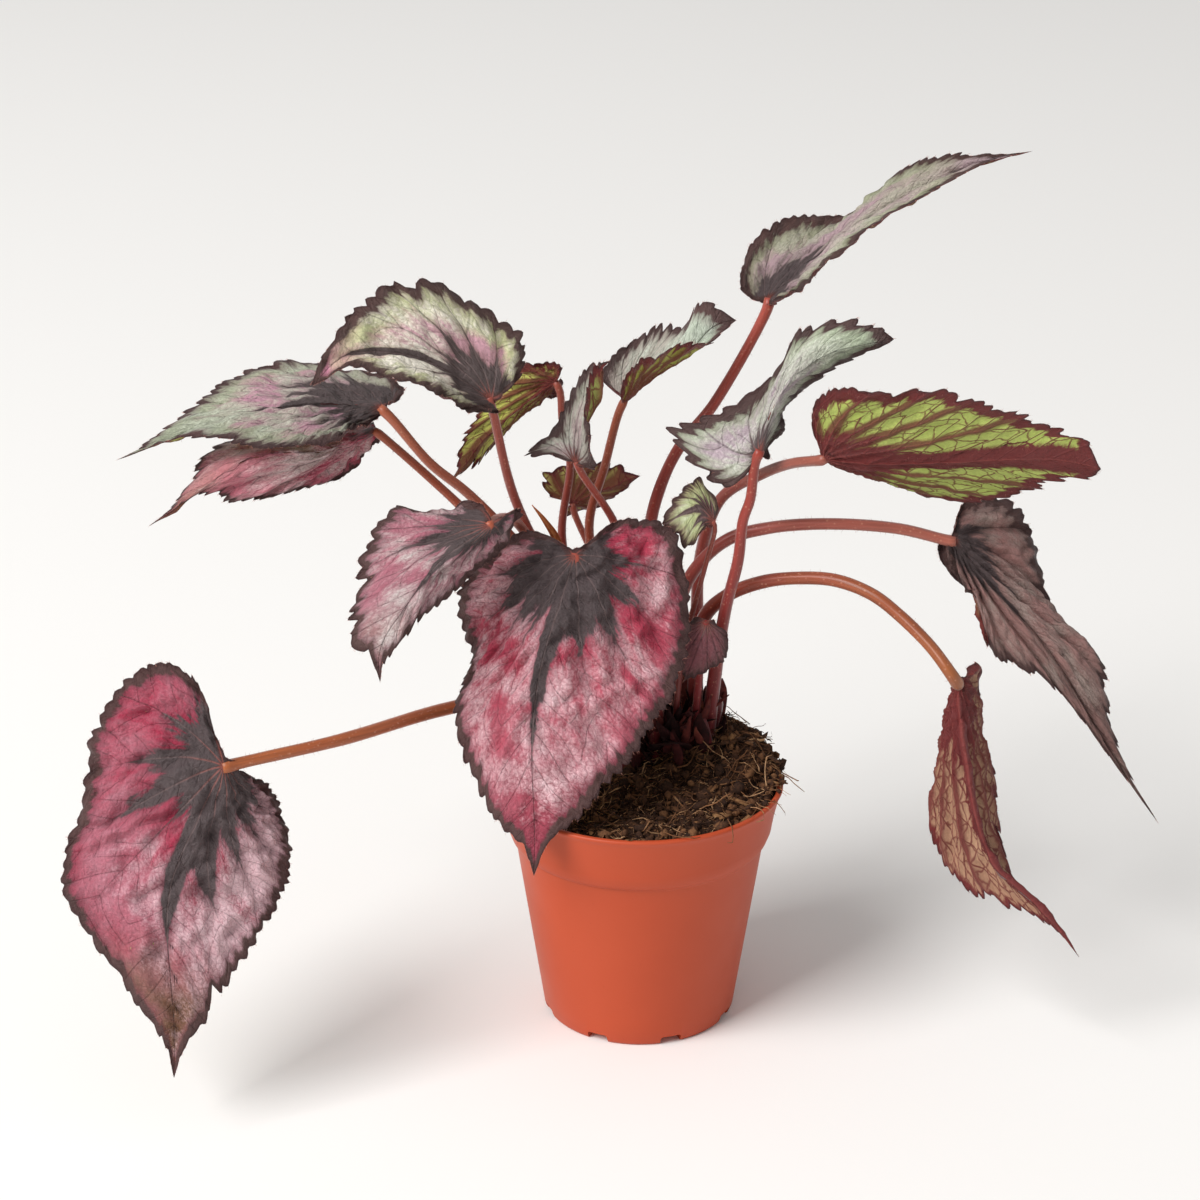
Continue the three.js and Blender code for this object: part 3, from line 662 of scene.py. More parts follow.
        Tint("c2cb90", "cdd4a4", "b9bf90", "e6ebd6", "4a2b27", "45352c", star=1.2,
             rim_width=2.4, crumple=0.6, halo="7a4a40"),
        ("7c2a26", "8a4030"),
        drip=0.0,
    ),
    Leaf(
        "17", "blade_crimson", (684, 682), (706, 622), ((700, 642), (692, 662)),
        ((698, 678), (714, 671), (726, 660), (730, 645), (725, 630), (714, 620)),
        ((680, 672), (676, 657), (677, 642), (682, 629), (689, 620), (698, 617)),
        (-4, -6, 6, 6, 0, 0),
        ((704, 631, 2), (700, 665, 7)),
        (22, 12), (1.2, 1.9),
        Tint("84454a", "88505a", "7c3f44", "9c6c70", "552e35", "3c1b22", star=0.4,
             rim_width=2.2, pearly=0.25, pleat=0.4, crumple=0.4),
        ("7c1a20", "8e2a28"),
    ),
)

# Flat heart outline of a blade of unit length: the stalk joins at (0, 0), the tip is at (1, 0).
HEART = np.array(
    [[0.78, 0.13], [0.55, 0.33], [0.28, 0.47], [0, 0.5], [-0.25, 0.38], [-0.28, 0.16]]
)
SINUS = -0.05
RIB = (0.33, 0.66)

# Main veins leave the joint at these turns from the midrib, as shares of a half turn, and bend
# towards the tip. The dark centre falls back to VALLEY of its reach between them, and along the
# midrib it is a narrow arm, down to ARM_SHARE of its extra reach at the turn ARM. A ramp holds the
# turn to the nearest vein in units of TURN_UNIT rad. BRANCH sizes and TOP_NET are mm, but the lean.
VEINS = (0.0, 0.12, 0.26, 0.42, 0.61, 0.82)
VEIN_BEND = 0.35
VALLEY = 0.7
ARM, ARM_SHARE = 0.022, 0.42
TURN_UNIT = 0.6
BRANCH_PITCH = 10.0
BRANCH_LEAN = 1.1
BRANCH_WOBBLE = 2.2
TOP_NET = 3.0


def vein_gaps() -> list[tuple[float, float]]:
    """Turns from the midrib, and from each the radians to the nearest main vein."""
    stops = [(VEINS[0], 0.0)]
    for a, b in zip(VEINS[:-1], VEINS[1:]):
        stops += [((a + b) / 2, (b - a) / 2 * math.pi), (b, 0.0)]
    return [*stops, (1.0, (1 - VEINS[-1]) * math.pi)]


# ---------------------------------------------------------------- finishes

# Short names of node kinds that need settings.
KINDS = {
    "Mix": ("Mix", {"data_type": "RGBA"}),
    "Multiply": ("Mix", {"data_type": "RGBA", "blend_type": "MULTIPLY"}),
    "Smooth": ("MapRange", {"interpolation_type": "SMOOTHSTEP"}),
    "Cells": ("TexVoronoi", {"feature": "DISTANCE_TO_EDGE", "voronoi_dimensions": "2D"}),
}


def feed(node: bpy.types.Node, inputs: dict[Any, Any]) -> None:
    """Set a node's inputs, each to a value, to a hex colour or to the socket that feeds it."""
    for name, value in inputs.items():
        if isinstance(value, bpy.types.NodeSocket):
            node.id_data.links.new(value, node.inputs[name])
        elif value is not None:
            node.inputs[name].default_value = linear(value) if isinstance(value, str) else value


def add_node(
    tree: bpy.types.NodeTree, kind: str, *inputs: Any, out: str = "", **settings: Any
) -> Any:
    """Add a node with its settings and inputs.

    Args:
        tree: the node tree.
        kind: a key of KINDS, the operation of a Math node in capitals, or the node's type without
            the leading 'ShaderNode'.
        *inputs: what feeds the inputs in use, in their order. None leaves one as it is.
        out: name of the output wanted, or nothing for the first one in use.
        **settings: attributes of the node.

    Returns:
        The socket of the output.
    """
    kind, preset = KINDS.get(kind, ("Math", {"operation": kind}) if kind.isupper() else (kind, {}))
    node = tree.nodes.new("ShaderNode" + kind)
    for name, value in {**preset, **settings}.items():
        setattr(node, name, value)
    used = [i for i, socket in enumerate(node.inputs) if socket.enabled]
    feed(node, dict(zip(used, inputs)))
    return node.outputs[out] if out else next(s for s in node.outputs if s.enabled)


def mm_scale(size: float) -> float:
    """Scale of a pattern on Object coordinates whose cells are this many mm."""
    return 1 / (size * MM)


def ramp(colour: Any, stops: Sequence[tuple[float, Any]]) -> Any:
    """Set the stops of a colour ramp, each a place and a grey or a hex colour."""
    elements = colour.node.color_ramp.elements
    while len(elements) < len(stops):
        elements.new(0.5)
    for element, (place, value) in zip(elements, stops):
        element.position = place
        element.color = linear(value) if isinstance(value, str) else (value, value, value, 1.0)
    return colour


def new_material(name: str) -> tuple[bpy.types.Material, bpy.types.Node, Adder]:
    """A new material, its Principled shader and the function that adds its nodes."""
    material = bpy.data.materials.new(name)
    material.use_nodes = True
    tree = material.node_tree
    return material, tree.nodes["Principled BSDF"], partial(add_node, tree)


@dataclass(frozen=True)
class Net:
    """How one side of a blade shows the net of veins, with widths in mm.

    main is the half width of the main veins at the joint and near the tip, side that of the side
    veins. pitch is the size of the finest cells, wall the width of their walls as a share of it and
    near how much wider they are beside the main veins. rough is the skin's roughness. way is 1
    where the net stands out and -1 where it is sunk.
    """

    main: tuple[float, float]
    side: float
    pitch: float
    wall: float
    near: float
    rough: float
    way: float


@dataclass(frozen=True)
class BladeFinish:
    """Rex begonia leaf: living skin with pearly cells over red pigment, and a palmate net of veins.

    The three sizes are those of soft patches, skin grain and the bends of the finest veins, in mm.
    star_noise is how far streaks, patches, grain and main veins feather the dark centre, in blade
    lengths. rim_noise is how far streaks, grain, patches and main veins shift the dark margin, and
    the reliefs are how high each stands, in mm.
    """

    leaf: Leaf
    length: float
    patch_size: float = 31.25
    grain_size: float = 1.25
    warp_size: float = 5.0
    star_noise: tuple[float, ...] = (0.26, 0.16, 0.06, 0.03)
    star_at: float = 0.22
    rim_noise: tuple[float, ...] = (-11.0, -3.2, -5.0, -1.8)
    rim_at: float = -9.6
    vein_relief: float = 0.4
    barb_relief: float = 0.35
    cell_relief: float = -0.3
    grain_relief: float = 1.4

    def _star(self) -> list[tuple[float, float]]:
        """Ramp of the dark centre's reach, round the joint from the right side to the left."""
        tint = self.leaf.tint
        stops = []
        for sign, reaches in ((-1, tint.star_right), (1, tint.star_left)):
            side = []
            for i, (place, reach) in enumerate(zip(VEINS, reaches)):
                side.append((place, reach))
                after = VEINS[i + 1] if i + 1 < len(VEINS) else 1.0
                follows = reaches[i + 1] if i + 1 < len(VEINS) else reach
                valley = VALLEY * min(reach, follows)
                if i == 0:
                    side.append((ARM, valley + ARM_SHARE * (reach - valley)))
                side.append(((place + after) / 2, valley))
            side.append((1.0, reaches[-1]))
            if sign < 0:
                side = side[:0:-1]
            stops += [(0.5 + sign * place / 2, reach * tint.star) for place, reach in side]
        return stops

    def build(self, side: Side) -> bpy.types.Material:
        """Material of one side of the blade.

        Args:
            side: the top, dark in the middle and along the margin with a silvery or crimson zone
                between, or the underside, green cells in a dark red net.

        Returns:
            The material.
        """
        tint = self.leaf.tint
        if side is Side.UNDER:
            net = Net((1.25, 0.5), 0.8, tint.net, tint.net_width, 0.12, 0.5, 1.0)
            paint = self._under_colour
        else:
            net = Net((0.75, 0.3), 0.5, TOP_NET, 0.09, 0.0, 0.29, -1.0)
            paint = self._top_colour
        material, shader, add = new_material(f"begonia_leaf_{side.value}_{self.leaf.name}")
        f = self._fields(add, net)
        colour = paint(add, f)
        rough = add("MapRange", f.dark, 0.0, 1.0, net.rough, 0.4)
        rough = add("MULTIPLY_ADD", f.grain, 0.14, rough)
        # Relief of the net, in mm: sunk on top, standing out below.
        high = add("MULTIPLY", f.main, self.vein_relief * net.way)
        barb, cell = self.barb_relief * net.way, self.cell_relief * net.way
        for field, rise in ((f.side, barb), (f.dome, cell), (f.grain, self.grain_relief)):
            high = add("MULTIPLY_ADD", field, rise, high)
        feed(shader, {"Base Color": colour, "Roughness": rough, "IOR": 1.45,
                      "Normal": add("Bump", 0.9, MM, None, high)})
        return material

    def _fields(self, add: Adder, net: Net) -> SimpleNamespace:
        """Sockets of the fields that the pattern is made of.

        Args:
            add: adds a node to the material.
            net: how this side shows the veins.

        Returns:
            The sockets. far is from the joint in blade lengths, reach, off and edge are mm from the
            joint, the nearest main vein and the margin, and the rest are shares from 0 to 1.
        """
        # Place on the flat leaf, as a turn from the midrib and mm from the joint.
        flat = add("UVMap", uv_map="flat")
        u = add("SeparateXYZ", flat)
        v = u.node.outputs["Y"]
        bent = add("MULTIPLY_ADD", add("MULTIPLY", v, v), -VEIN_BEND, u)
        far = add("VectorMath", add("CombineXYZ", bent, v), operation="LENGTH")
        reach = add("MULTIPLY", far, self.length)
        turn = add("ARCTAN2", v, bent)
        share = add("DIVIDE", add("ABSOLUTE", turn), math.pi)
        edge = add("Attribute", out="Fac", attribute_name="edge")

        # Soft patches, streaks that run out from the joint, and skin grain of about 1 mm.
        number = float(self.leaf.name)
        mm = add("VectorMath", flat, self.length, operation="SCALE")
        shift = add("VectorMath", mm, (37.0 * number, 0, 0), operation="ADD")
        patch = add("TexNoise", shift, 1 / self.patch_size, 5.0, 0.52, None, 0.7)
        fan = add("CombineXYZ", add("MULTIPLY", turn, 6.0), add("MULTIPLY", reach, 0.05), number)
        streak = add("TexNoise", fan, 1.6, 6.0, 0.68)
        grain = add("TexNoise", shift, 1 / self.grain_size, 5.0, 0.72)

        # Main veins: mm from the nearest one.
        angle = ramp(add("ValToRGB", share), [(p, gap / TURN_UNIT) for p, gap in vein_gaps()])
        off = add("MULTIPLY", add("MULTIPLY", angle, reach), TURN_UNIT)
        main = add("Smooth", off, 0.0, add("MapRange", far, 0.0, 0.9, *net.main), 1.0, 0.0)
        # Side veins leave the main ones like the barbs of a feather.
        wobble = add("MULTIPLY_ADD", reach, 0.17, add("MULTIPLY", turn, 5.0))
        barb = add("MULTIPLY_ADD", off, -BRANCH_LEAN, reach)
        barb = add("MULTIPLY_ADD", add("SINE", wobble), BRANCH_WOBBLE, barb)
        barb = add("PINGPONG", barb, BRANCH_PITCH / 2)
        side_vein = add("Smooth", barb, 0.0, net.side, 1.0, 0.0)
        # The finest veins close the net, over cells that swell on top.
        warp = add("TexNoise", shift, 1 / self.warp_size, 3.0, out="Color")
        warp = add("VectorMath", warp, (4.5, 4.5, 0.0), shift, operation="MULTIPLY_ADD")
        cells = add("Cells", warp, 1 / net.pitch)
        wall = add("ADD", add("MapRange", off, 0.0, 7.0, net.near, 0.0), net.wall)

        # Dark centre: a star along the veins with a feathered edge.
        compass = add("MapRange", turn, -math.pi, math.pi)
        star = add("SUBTRACT", ramp(add("ValToRGB", compass), self._star()), far)
        for field, weight in zip((streak, patch, grain, main), self.star_noise):
            star = add("MULTIPLY_ADD", field, weight, star)
        # Dark margin, wider where a vein runs into it.
        brink = edge
        for field, weight in zip((streak, grain, patch, main), self.rim_noise):
            brink = add("MULTIPLY_ADD", field, weight, brink)
        rim_at = self.leaf.tint.rim_width + self.rim_at
        rim = add("Smooth", brink, rim_at - 1.1, rim_at + 1.1, 1.0, 0.0)
        glow = add("MapRange", star, self.star_at - 0.07, self.star_at + 0.02, 0.0, 0.7)
        glow = add("MAXIMUM", glow, add("MapRange", brink, rim_at + 0.6, rim_at + 4.5, 0.7, 0.0))
        star = add("Smooth", star, self.star_at, self.star_at + 0.04)
        return SimpleNamespace(
            u=u, v=v, far=far, reach=reach, edge=edge, patch=patch, streak=streak, grain=grain,
            off=off, main=main, side=side_vein, net=add("Smooth", cells, 0.0, wall, 1.0, 0.0),
            dome=add("Smooth", cells, 0.0, 0.35), star=star, rim=rim, glow=glow,
            dark=add("MAXIMUM", star, rim),
        )

    def _top_colour(self, add: Adder, f: SimpleNamespace) -> Any:
        """Colour socket of the top side, from the fields of the pattern."""
        tint = self.leaf.tint
        zone = add("MapRange", f.far, 0.1, 0.9, 0.0, 0.7)
        for field, weight in ((f.patch, 1.5), (f.streak, 1.3)):
            zone = add("MULTIPLY_ADD", field, weight, zone)
        zone = add("ADD", zone, add("MapRange", f.edge, 5.0, 18.0, tint.brim, 0.0))
        zone = add("MapRange", zone, 1.3 + tint.brim / 3, 2.1)
        tipward = add("MULTIPLY", add("MapRange", f.u, 0.45, 0.9), f.patch)
        tipward = add("MapRange", tipward, 0.12, 0.42)
        # Air under the skin makes pearly flecks, densest between the veins; more on one side is
        # painted sheen.
        pearl = add("MULTIPLY", f.patch, 1.5)
        for field, weight in ((f.streak, 0.9), (f.grain, 0.6), (f.v, tint.tilt), (tipward, -0.2)):
            pearl = add("MULTIPLY_ADD", field, weight, pearl)
        pearl = add("MapRange", pearl, 1.38, 1.94, 0.0, tint.pearly * 1.9)
        cell = add("MapRange", f.net, 0.0, 1.0, 1.0, 0.45)
        pearl = add("MULTIPLY", pearl, cell, use_clamp=True)
        glow = add("MULTIPLY", f.glow, 0.75)
        colour = add("Mix", zone, tint.inner, tint.outer)
        for share, code in ((tipward, tint.tip), (pearl, tint.pearl), (glow, tint.halo)):
            colour = add("Mix", share, colour, code)
        colour = add("Multiply", 1.0, colour, add("MapRange", f.grain, 0.3, 0.7, 0.75, 1.18))
        veins = add("MULTIPLY_ADD", f.side, 0.3, add("MULTIPLY", f.main, 0.5))
        veins = add("MULTIPLY_ADD", f.net, 0.15, veins, use_clamp=True)
        pale = add("MULTIPLY_ADD", f.side, 0.12, add("MULTIPLY", f.main, 0.42))
        deep = add("Mix", pale, add("Mix", f.grain, tint.dark, "67595a"), "8a7270")
        outer = add("MapRange", f.edge, 0.3, 2.2, 0.75, 0.0)
        brow = add("Mix", outer, add("Mix", f.patch, tint.rim, "644541"), "38191a")
        # The main veins keep the stalk's colour near the joint.
        warm = add("MULTIPLY", add("MapRange", f.reach, 2.0, tint.warm, 0.7, 0.0), f.main)
        warm = add("MAXIMUM", warm, add("Smooth", f.reach, 0.8, 3.0, 0.7, 0.0))
        for share, layer in ((veins, tint.rim), (f.star, deep), (f.rim, brow), (warm, "a6584c")):
            colour = add("Mix", share, colour, layer)
        return colour

    def _under_colour(self, add: Adder, f: SimpleNamespace) -> Any:
        """Colour socket of the underside, from the fields of the pattern."""
        tint = self.leaf.tint
        cell = add("Mix", f.patch, tint.cell, tint.cell_pale)
        cell = add("Multiply", 1.0, cell, add("MapRange", f.grain, 0.3, 0.7, 0.78, 1.12))
        red = add("Mix", f.grain, tint.red, "7d312c")
        halo = add("MULTIPLY", add("MapRange", f.off, 0.3, 6.0, 1.6, 0.0), f.patch)
        blush = add("MapRange", f.u, 0.45, 1.0, 0.0, 0.75)
        halo = add("MULTIPLY_ADD", blush, f.streak, halo)
        halo = add("ADD", halo, add("MapRange", f.far, 0.05, 0.3, tint.root, 0.0))
        halo = add("MapRange", halo, 0.3, 0.6, 0.0, 0.9)
        keel = add("MULTIPLY", add("ABSOLUTE", f.v), self.length)
        for field, weight in ((f.net, -3.0), (f.grain, -6.0), (f.patch, -10.0)):
            keel = add("MULTIPLY_ADD", field, weight, keel)
        keel = add("Smooth", keel, tint.keel - 10.0, tint.keel - 7.0, 1.0, 0.0)
        lines = add("MAXIMUM", f.main, f.side)
        for more in (add("MULTIPLY", f.net, 0.85), halo, keel, f.dark):
            lines = add("MAXIMUM", lines, more)
        ribs = add("MULTIPLY", f.main, 0.35)
        brink = add("MapRange", f.edge, 0.3, 1.8, 0.65, 0.0)
        colour = cell
        for share, layer in ((lines, red), (ribs, "9a4a42"), (brink, "431a1c")):
            colour = add("Mix", share, colour, layer)
        return colour


@dataclass(frozen=True)
class StemFinish:
    """Begonia stalk: smooth juicy skin, red at the foot, orange-brown above, with pale flecks."""

    name: str
    foot: str
    top: str
    span: float

    def build(self) -> bpy.types.Material:
        """Make the material."""
        material, shader, add = new_material(self.name)
        along = add("Attribute", out="Fac", attribute_name="along")
        place = add("TexCoord", out="Object")
        rise = add("MapRange", along, 0.0, self.span)
        rise = add("MULTIPLY_ADD", add("TexNoise", place, mm_scale(16.667), 3.0), 0.5, rise)
        colour = add("Mix", add("MapRange", rise, 0.2, 1.1), self.top, self.foot)
        base = add("MapRange", along, self.span - 38.0, self.span - 12.0, 0.0, 0.85)
        colour = add("Mix", base, colour, "5e1a1e")
        long = add("Mapping", add("UVMap", uv_map="flat"), None, None, (0.05, 14.0, 1.0))
        streak = add("TexNoise", long, 1.0, 3.0)
        colour = add("Multiply", 1.0, colour, add("MapRange", streak, 0.3, 0.7, 0.78, 1.16))
        fleck = add("MapRange", add("TexVoronoi", place, mm_scale(2.381)), 0.1, 0.24, 0.4, 0.0)
        feed(shader, {"Base Color": add("Mix", fleck, colour, "cf9478"), "Roughness": 0.36,
                      "IOR": 1.42, "Sheen Weight": 0.2,
                      "Normal": add("Bump", 0.4, 0.3 * MM, None, streak)})
        return material


@dataclass(frozen=True)
class PotFinish:
    """Injection-moulded polypropylene: even satin colour, faint orange peel, light dust."""

    name: str = "moulded_polypropylene"
    colour: str = "bd4c29"

    def build(self) -> bpy.types.Material:
        """Make the material."""
        material, shader, add = new_material(self.name)
        place = add("TexCoord", out="Object")
        cloud = add("TexNoise", place, mm_scale(41.667), 4.0)
        colour = add("Mix", cloud, self.colour, "b24524")
        dust = add("MapRange", add("TexVoronoi", place, mm_scale(3.8462)), 0.035, 0.07, 0.35, 0.0)
        peel = add("TexNoise", place, mm_scale(0.625), 2.0)
        feed(shader, {"Base Color": add("Mix", dust, colour, "86331c"),
                      "Roughness": add("MapRange", cloud, 0.3, 0.7, 0.4, 0.52),
                      "IOR": 1.49, "Specular IOR Level": 0.35,
                      "Normal": add("Bump", 0.25, 0.1 * MM, None, peel)})
        return material


@dataclass(frozen=True)
class EarthFinish:
    """Peat and coir: crumbs and fibres, matt, from near black to tan by the attribute 'tone'.

    grain is the size of its clouding in mm.
    """

    name: str
    stops: tuple[tuple[float, str], ...]
    grain: float = 1.1111

    def build(self) -> bpy.types.Material:
        """Make the material."""
        material, shader, add = new_material(self.name)
        cloud = add("TexNoise", add("TexCoord", out="Object"), mm_scale(self.grain), 5.0)
        tone = add("Attribute", out="Fac", attribute_name="tone")
        tone = add("SUBTRACT", add("MULTIPLY_ADD", cloud, 0.7, tone), 0.35)
        feed(shader, {"Base Color": ramp(add("ValToRGB", tone), self.stops), "Roughness": 0.92,
                      "Specular IOR Level": 0.25,
                      "Normal": add("Bump", 0.8, 0.6 * MM, None, cloud)})
        return material


@dataclass(frozen=True)
class PlainFinish:
    """Even matt colour without a pattern."""

    name: str
    colour: str
    rough: float

    def build(self) -> bpy.types.Material:
        """Make the material."""
        material, shader, _ = new_material(self.name)
        feed(shader, {"Base Color": self.colour, "Roughness": self.rough})
        return material


# Peat gives near black to brown crumbs, coir lighter and warmer strands.
PEAT = EarthFinish("peat_and_coir", ((0.0, "1a100b"), (0.35, "41291c"), (0.65, "6e4a30"),
                                     (1.0, "946c47")))
COIR = EarthFinish("coir_fibre", ((0.0, "26150d"), (0.3, "513321"), (0.65, "855a3b"),
                                  (1.0, "cba077")), 2.0)
# Bark is dark and red, withered stipules dull red to tan, the dry stipule papery and orange.
BARK = EarthFinish("rhizome_bark", ((0.0, "200f0d"), (0.4, "3c1b17"), (0.7, "5a2c22"),
                                    (1.0, "7c4a38")), 2.8571)
WITHERED = EarthFinish("withered_stipule", ((0.0, "210d0c"), (0.4, "43191a"), (0.7, "6b2f28"),
                                            (1.0, "9c6244")), 2.8571)
SCALE = EarthFinish("dry_stipule", ((0.0, "7a3a22"), (0.4, "a85a34"), (0.7, "bf7446"),
                                    (1.0, "d59a68")), 1.4286)
# Hair is pale down, reddish at this size. Paper is a near white matt floor.
HAIR = PlainFinish("begonia_hair", "c58a7c", 0.6)
PAPER = PlainFinish("matt_paper", "f7f5f2", 0.9)


# ---------------------------------------------------------------- leaves


@dataclass
class Blade:
    """The blade of one leaf, mapped from a flat heart to the photograph and given depth.

    Sizes are mm, but centre, which is in blade lengths, and curve, the blade's length over the
    straight distance from joint to tip. The rises are how high ruffles, frills, curled teeth, the
    panels between main veins, those between side veins and the veins themselves stand. fringe and
    down are hairs per mm of length, along the margin and over the underside.
    """

    leaf: Leaf
    centre: float = 0.15
    curve: float = 1.05
    half: float = 0.3
    half_edge: float = 0.12
    ruffles: int = 8
    ruffle_rise: float = 1.5
    frill_rise: float = 0.8
    curl_rise: float = 0.7
    panel_rise: float = 1.25
    barb_panel_rise: float = 0.5
    rib_rise: float = 0.9
    barb_rise: float = 0.3
    wrinkles: tuple[float, ...] = (20.0, 13.0, 9.0, 6.5, 4.6)
    wrinkle_rise: float = 0.027
    tooth_pitch: float = 4.3
    tooth_depth: float = 1.7
    least_cut: float = 0.35
    chip_share: float = 2.0
    fringe: float = 3.2
    down: float = 3.0
    hair_length: float = 1.3

    def __post_init__(self) -> None:
        """Solve the thin plate that carries the flat outline to the photograph."""
        leaf = self.leaf
        flat = [(0.0, 0.0), (1.0, 0.0), *((u, 0.0) for u in RIB)]
        pixels = [leaf.joint, leaf.tip, *leaf.rib]
        for (u, v), left, right in zip(HEART, leaf.left, leaf.right):
            flat += [(u, v), (u, -v)]
            pixels += [left, right]
        self.held = np.array(flat)
        n = len(flat)
        system = np.zeros((n + 4, n + 4))
        system[:n, :n + 4] = self._terms(self.held[:, 0], self.held[:, 1])
        system[n:, :n] = system[:n, n:].T
        wanted = np.zeros((n + 4, 2))
        wanted[:n] = np.array(pixels, float)
        self.weights = np.linalg.solve(system, wanted)
        tip, joint = self.sheet(np.array([1.0, 0.0]), np.array([0.0, 0.0]))
        self.length = float(np.linalg.norm(tip - joint)) * self.curve
        self.seed = float(leaf.name) * 1.7
        self.sectors = 2 * int(48 + 0.95 * self.length)
        self.rings = int(14 + 0.2 * self.length)

    def _terms(self, u: Array, v: Array) -> Array:
        """Values of the plate's terms at flat places, one row a place."""
        r = np.hypot(u[:, None] - self.held[:, 0], v[:, None] - self.held[:, 1])
        plate = np.where(r > 1e-9, r * r * np.log(np.maximum(r, 1e-9)), 0.0)
        return np.hstack([plate, np.stack([np.ones_like(u), u, v, soft_abs(v)], axis=1)])

    def sheet(self, u: Array, v: Array) -> Array:
        """Places in mm of flat places on the blade's smooth middle sheet."""
        pixels = self._terms(u, v) @ self.weights
        joint, along, left, right, bow, droop = self.leaf.depth
        sides = np.where(v > 0, left, right) * soft_abs(v)
        depth = joint + along * u + sides + bow * v * v + droop * u * u
        return VIEW.seen(pixels[:, 0], pixels[:, 1], depth)

    def normals(self, u: Array, v: Array) -> Array:
        """Unit normals of the sheet, out of its top side."""
        step = 0.004
        du = self.sheet(u + step, v) - self.sheet(u - step, v)
        dv = self.sheet(u, v + step) - self.sheet(u, v - step)
        return unit(np.cross(du, dv))

    def margin(self, t: Array) -> Array:
        """Flat outline from the tip round the left side, the sinus and the right side."""
        right = HEART[::-1] * [1, -1]
        marks = np.vstack([[[1, 0]], HEART, [[SINUS, 0]], right, [[1, 0]]])
        ends = np.vstack([2 * marks[0] - marks[1], marks, 2 * marks[-1] - marks[-2]])
        parts = [curve_part(ends[i:i + 4], 60)[:-1] for i in range(len(marks) - 1)]
        even = np.vstack([*parts, marks[-1:]])
        # The tip is drawn out to a fine point.
        even[:, 1] *= 1 - self.leaf.drip * smoothstep(even[:, 0], 0.82, 0.95)
        place = t * (len(even) - 1)
        marks = np.arange(len(even))
        return np.stack([np.interp(place, marks, even[:, k]) for k in (0, 1)], axis=1)

    def teeth(self, t: Array) -> tuple[Array, Array]:
        """Place within its tooth, 0 to 1, and a fixed random number for each tooth."""
        turn = 2 * math.pi * t
        count = round(2.5 * self.length / self.tooth_pitch)
        pace = t + 0.006 * np.sin(3 * turn + self.seed) + 0.003 * np.sin(8 * turn + self.seed)
        number = np.floor(pace * count)
        chance = np.sin(number * 12.9898 + self.seed * 78.233) * 43758.5453
        return pace * count - number, chance - np.floor(chance)

    def cut(self, t: Array) -> Array:
        """How far the teeth cut into the margin, as a share of the way to the centre."""
        turn = 2 * math.pi * t
        phase, chance = self.teeth(t)
        peak = 0.3 + 0.4 * chance
        small = np.where(phase < peak, 1 - phase / peak, (phase - peak) / (1 - peak)) ** 1.5
        small *= 0.5 + chance
        scallops = round(2.5 * self.length / self.tooth_pitch / 2.7)
        broad = np.abs(np.cos(math.pi * scallops * (t + 0.01 * np.sin(3 * turn)) + self.seed))
        vary = 0.8 + 0.5 * np.sin(5 * turn + self.seed) * np.sin(11 * turn - self.seed)
        chips = np.clip(wander(turn * 11, self.seed, 3) - 0.3, 0.0, 1.0)
        inner = np.sin(math.pi * t) ** 2
        fade = inner / (inner + 0.006)
        deep = self.tooth_depth * self.leaf.teeth
        waves = self.leaf.lobes * broad ** 3 * vary
        depth = self.least_cut + deep * (small + waves + self.chip_share * chips)
        return fade * depth / (0.42 * self.length) * min(1.0, self.length / 60)

    def vein_fields(self, u: Array, v: Array) -> tuple[Array, Array, Array]:
        """Distance in mm from the joint, from the nearest main vein and from the nearest barb."""
        bent = u - VEIN_BEND * v * v
        reach = np.hypot(bent, v) * self.length
        share = np.abs(np.arctan2(v, bent)) / math.pi
        off = np.interp(share, *np.array(vein_gaps()).T) * reach
        wobble = BRANCH_WOBBLE * np.sin(0.17 * reach + 5 * np.arctan2(v, bent))
        along = (reach - BRANCH_LEAN * off + wobble) / BRANCH_PITCH
        return reach, off, (0.5 - np.abs(along % 1.0 - 0.5)) * BRANCH_PITCH

    def crumple(self, x: Array, y: Array) -> Array:
        """Seeded wrinkles in mm, for flat places in mm."""
        draw = np.random.default_rng(int(self.leaf.name))
        total = np.zeros_like(x)
        warp = 1.5 * np.sin(0.21 * x + 0.13 * y + self.seed)
        for pitch in self.wrinkles:
            for _ in range(4):
                way, phase = draw.uniform(0, math.pi), draw.uniform(0, 2 * math.pi)
                wave = (x * math.cos(way) + y * math.sin(way)) * 2 * math.pi / pitch
                total += self.wrinkle_rise * pitch * np.sin(wave + warp + phase)
        return total

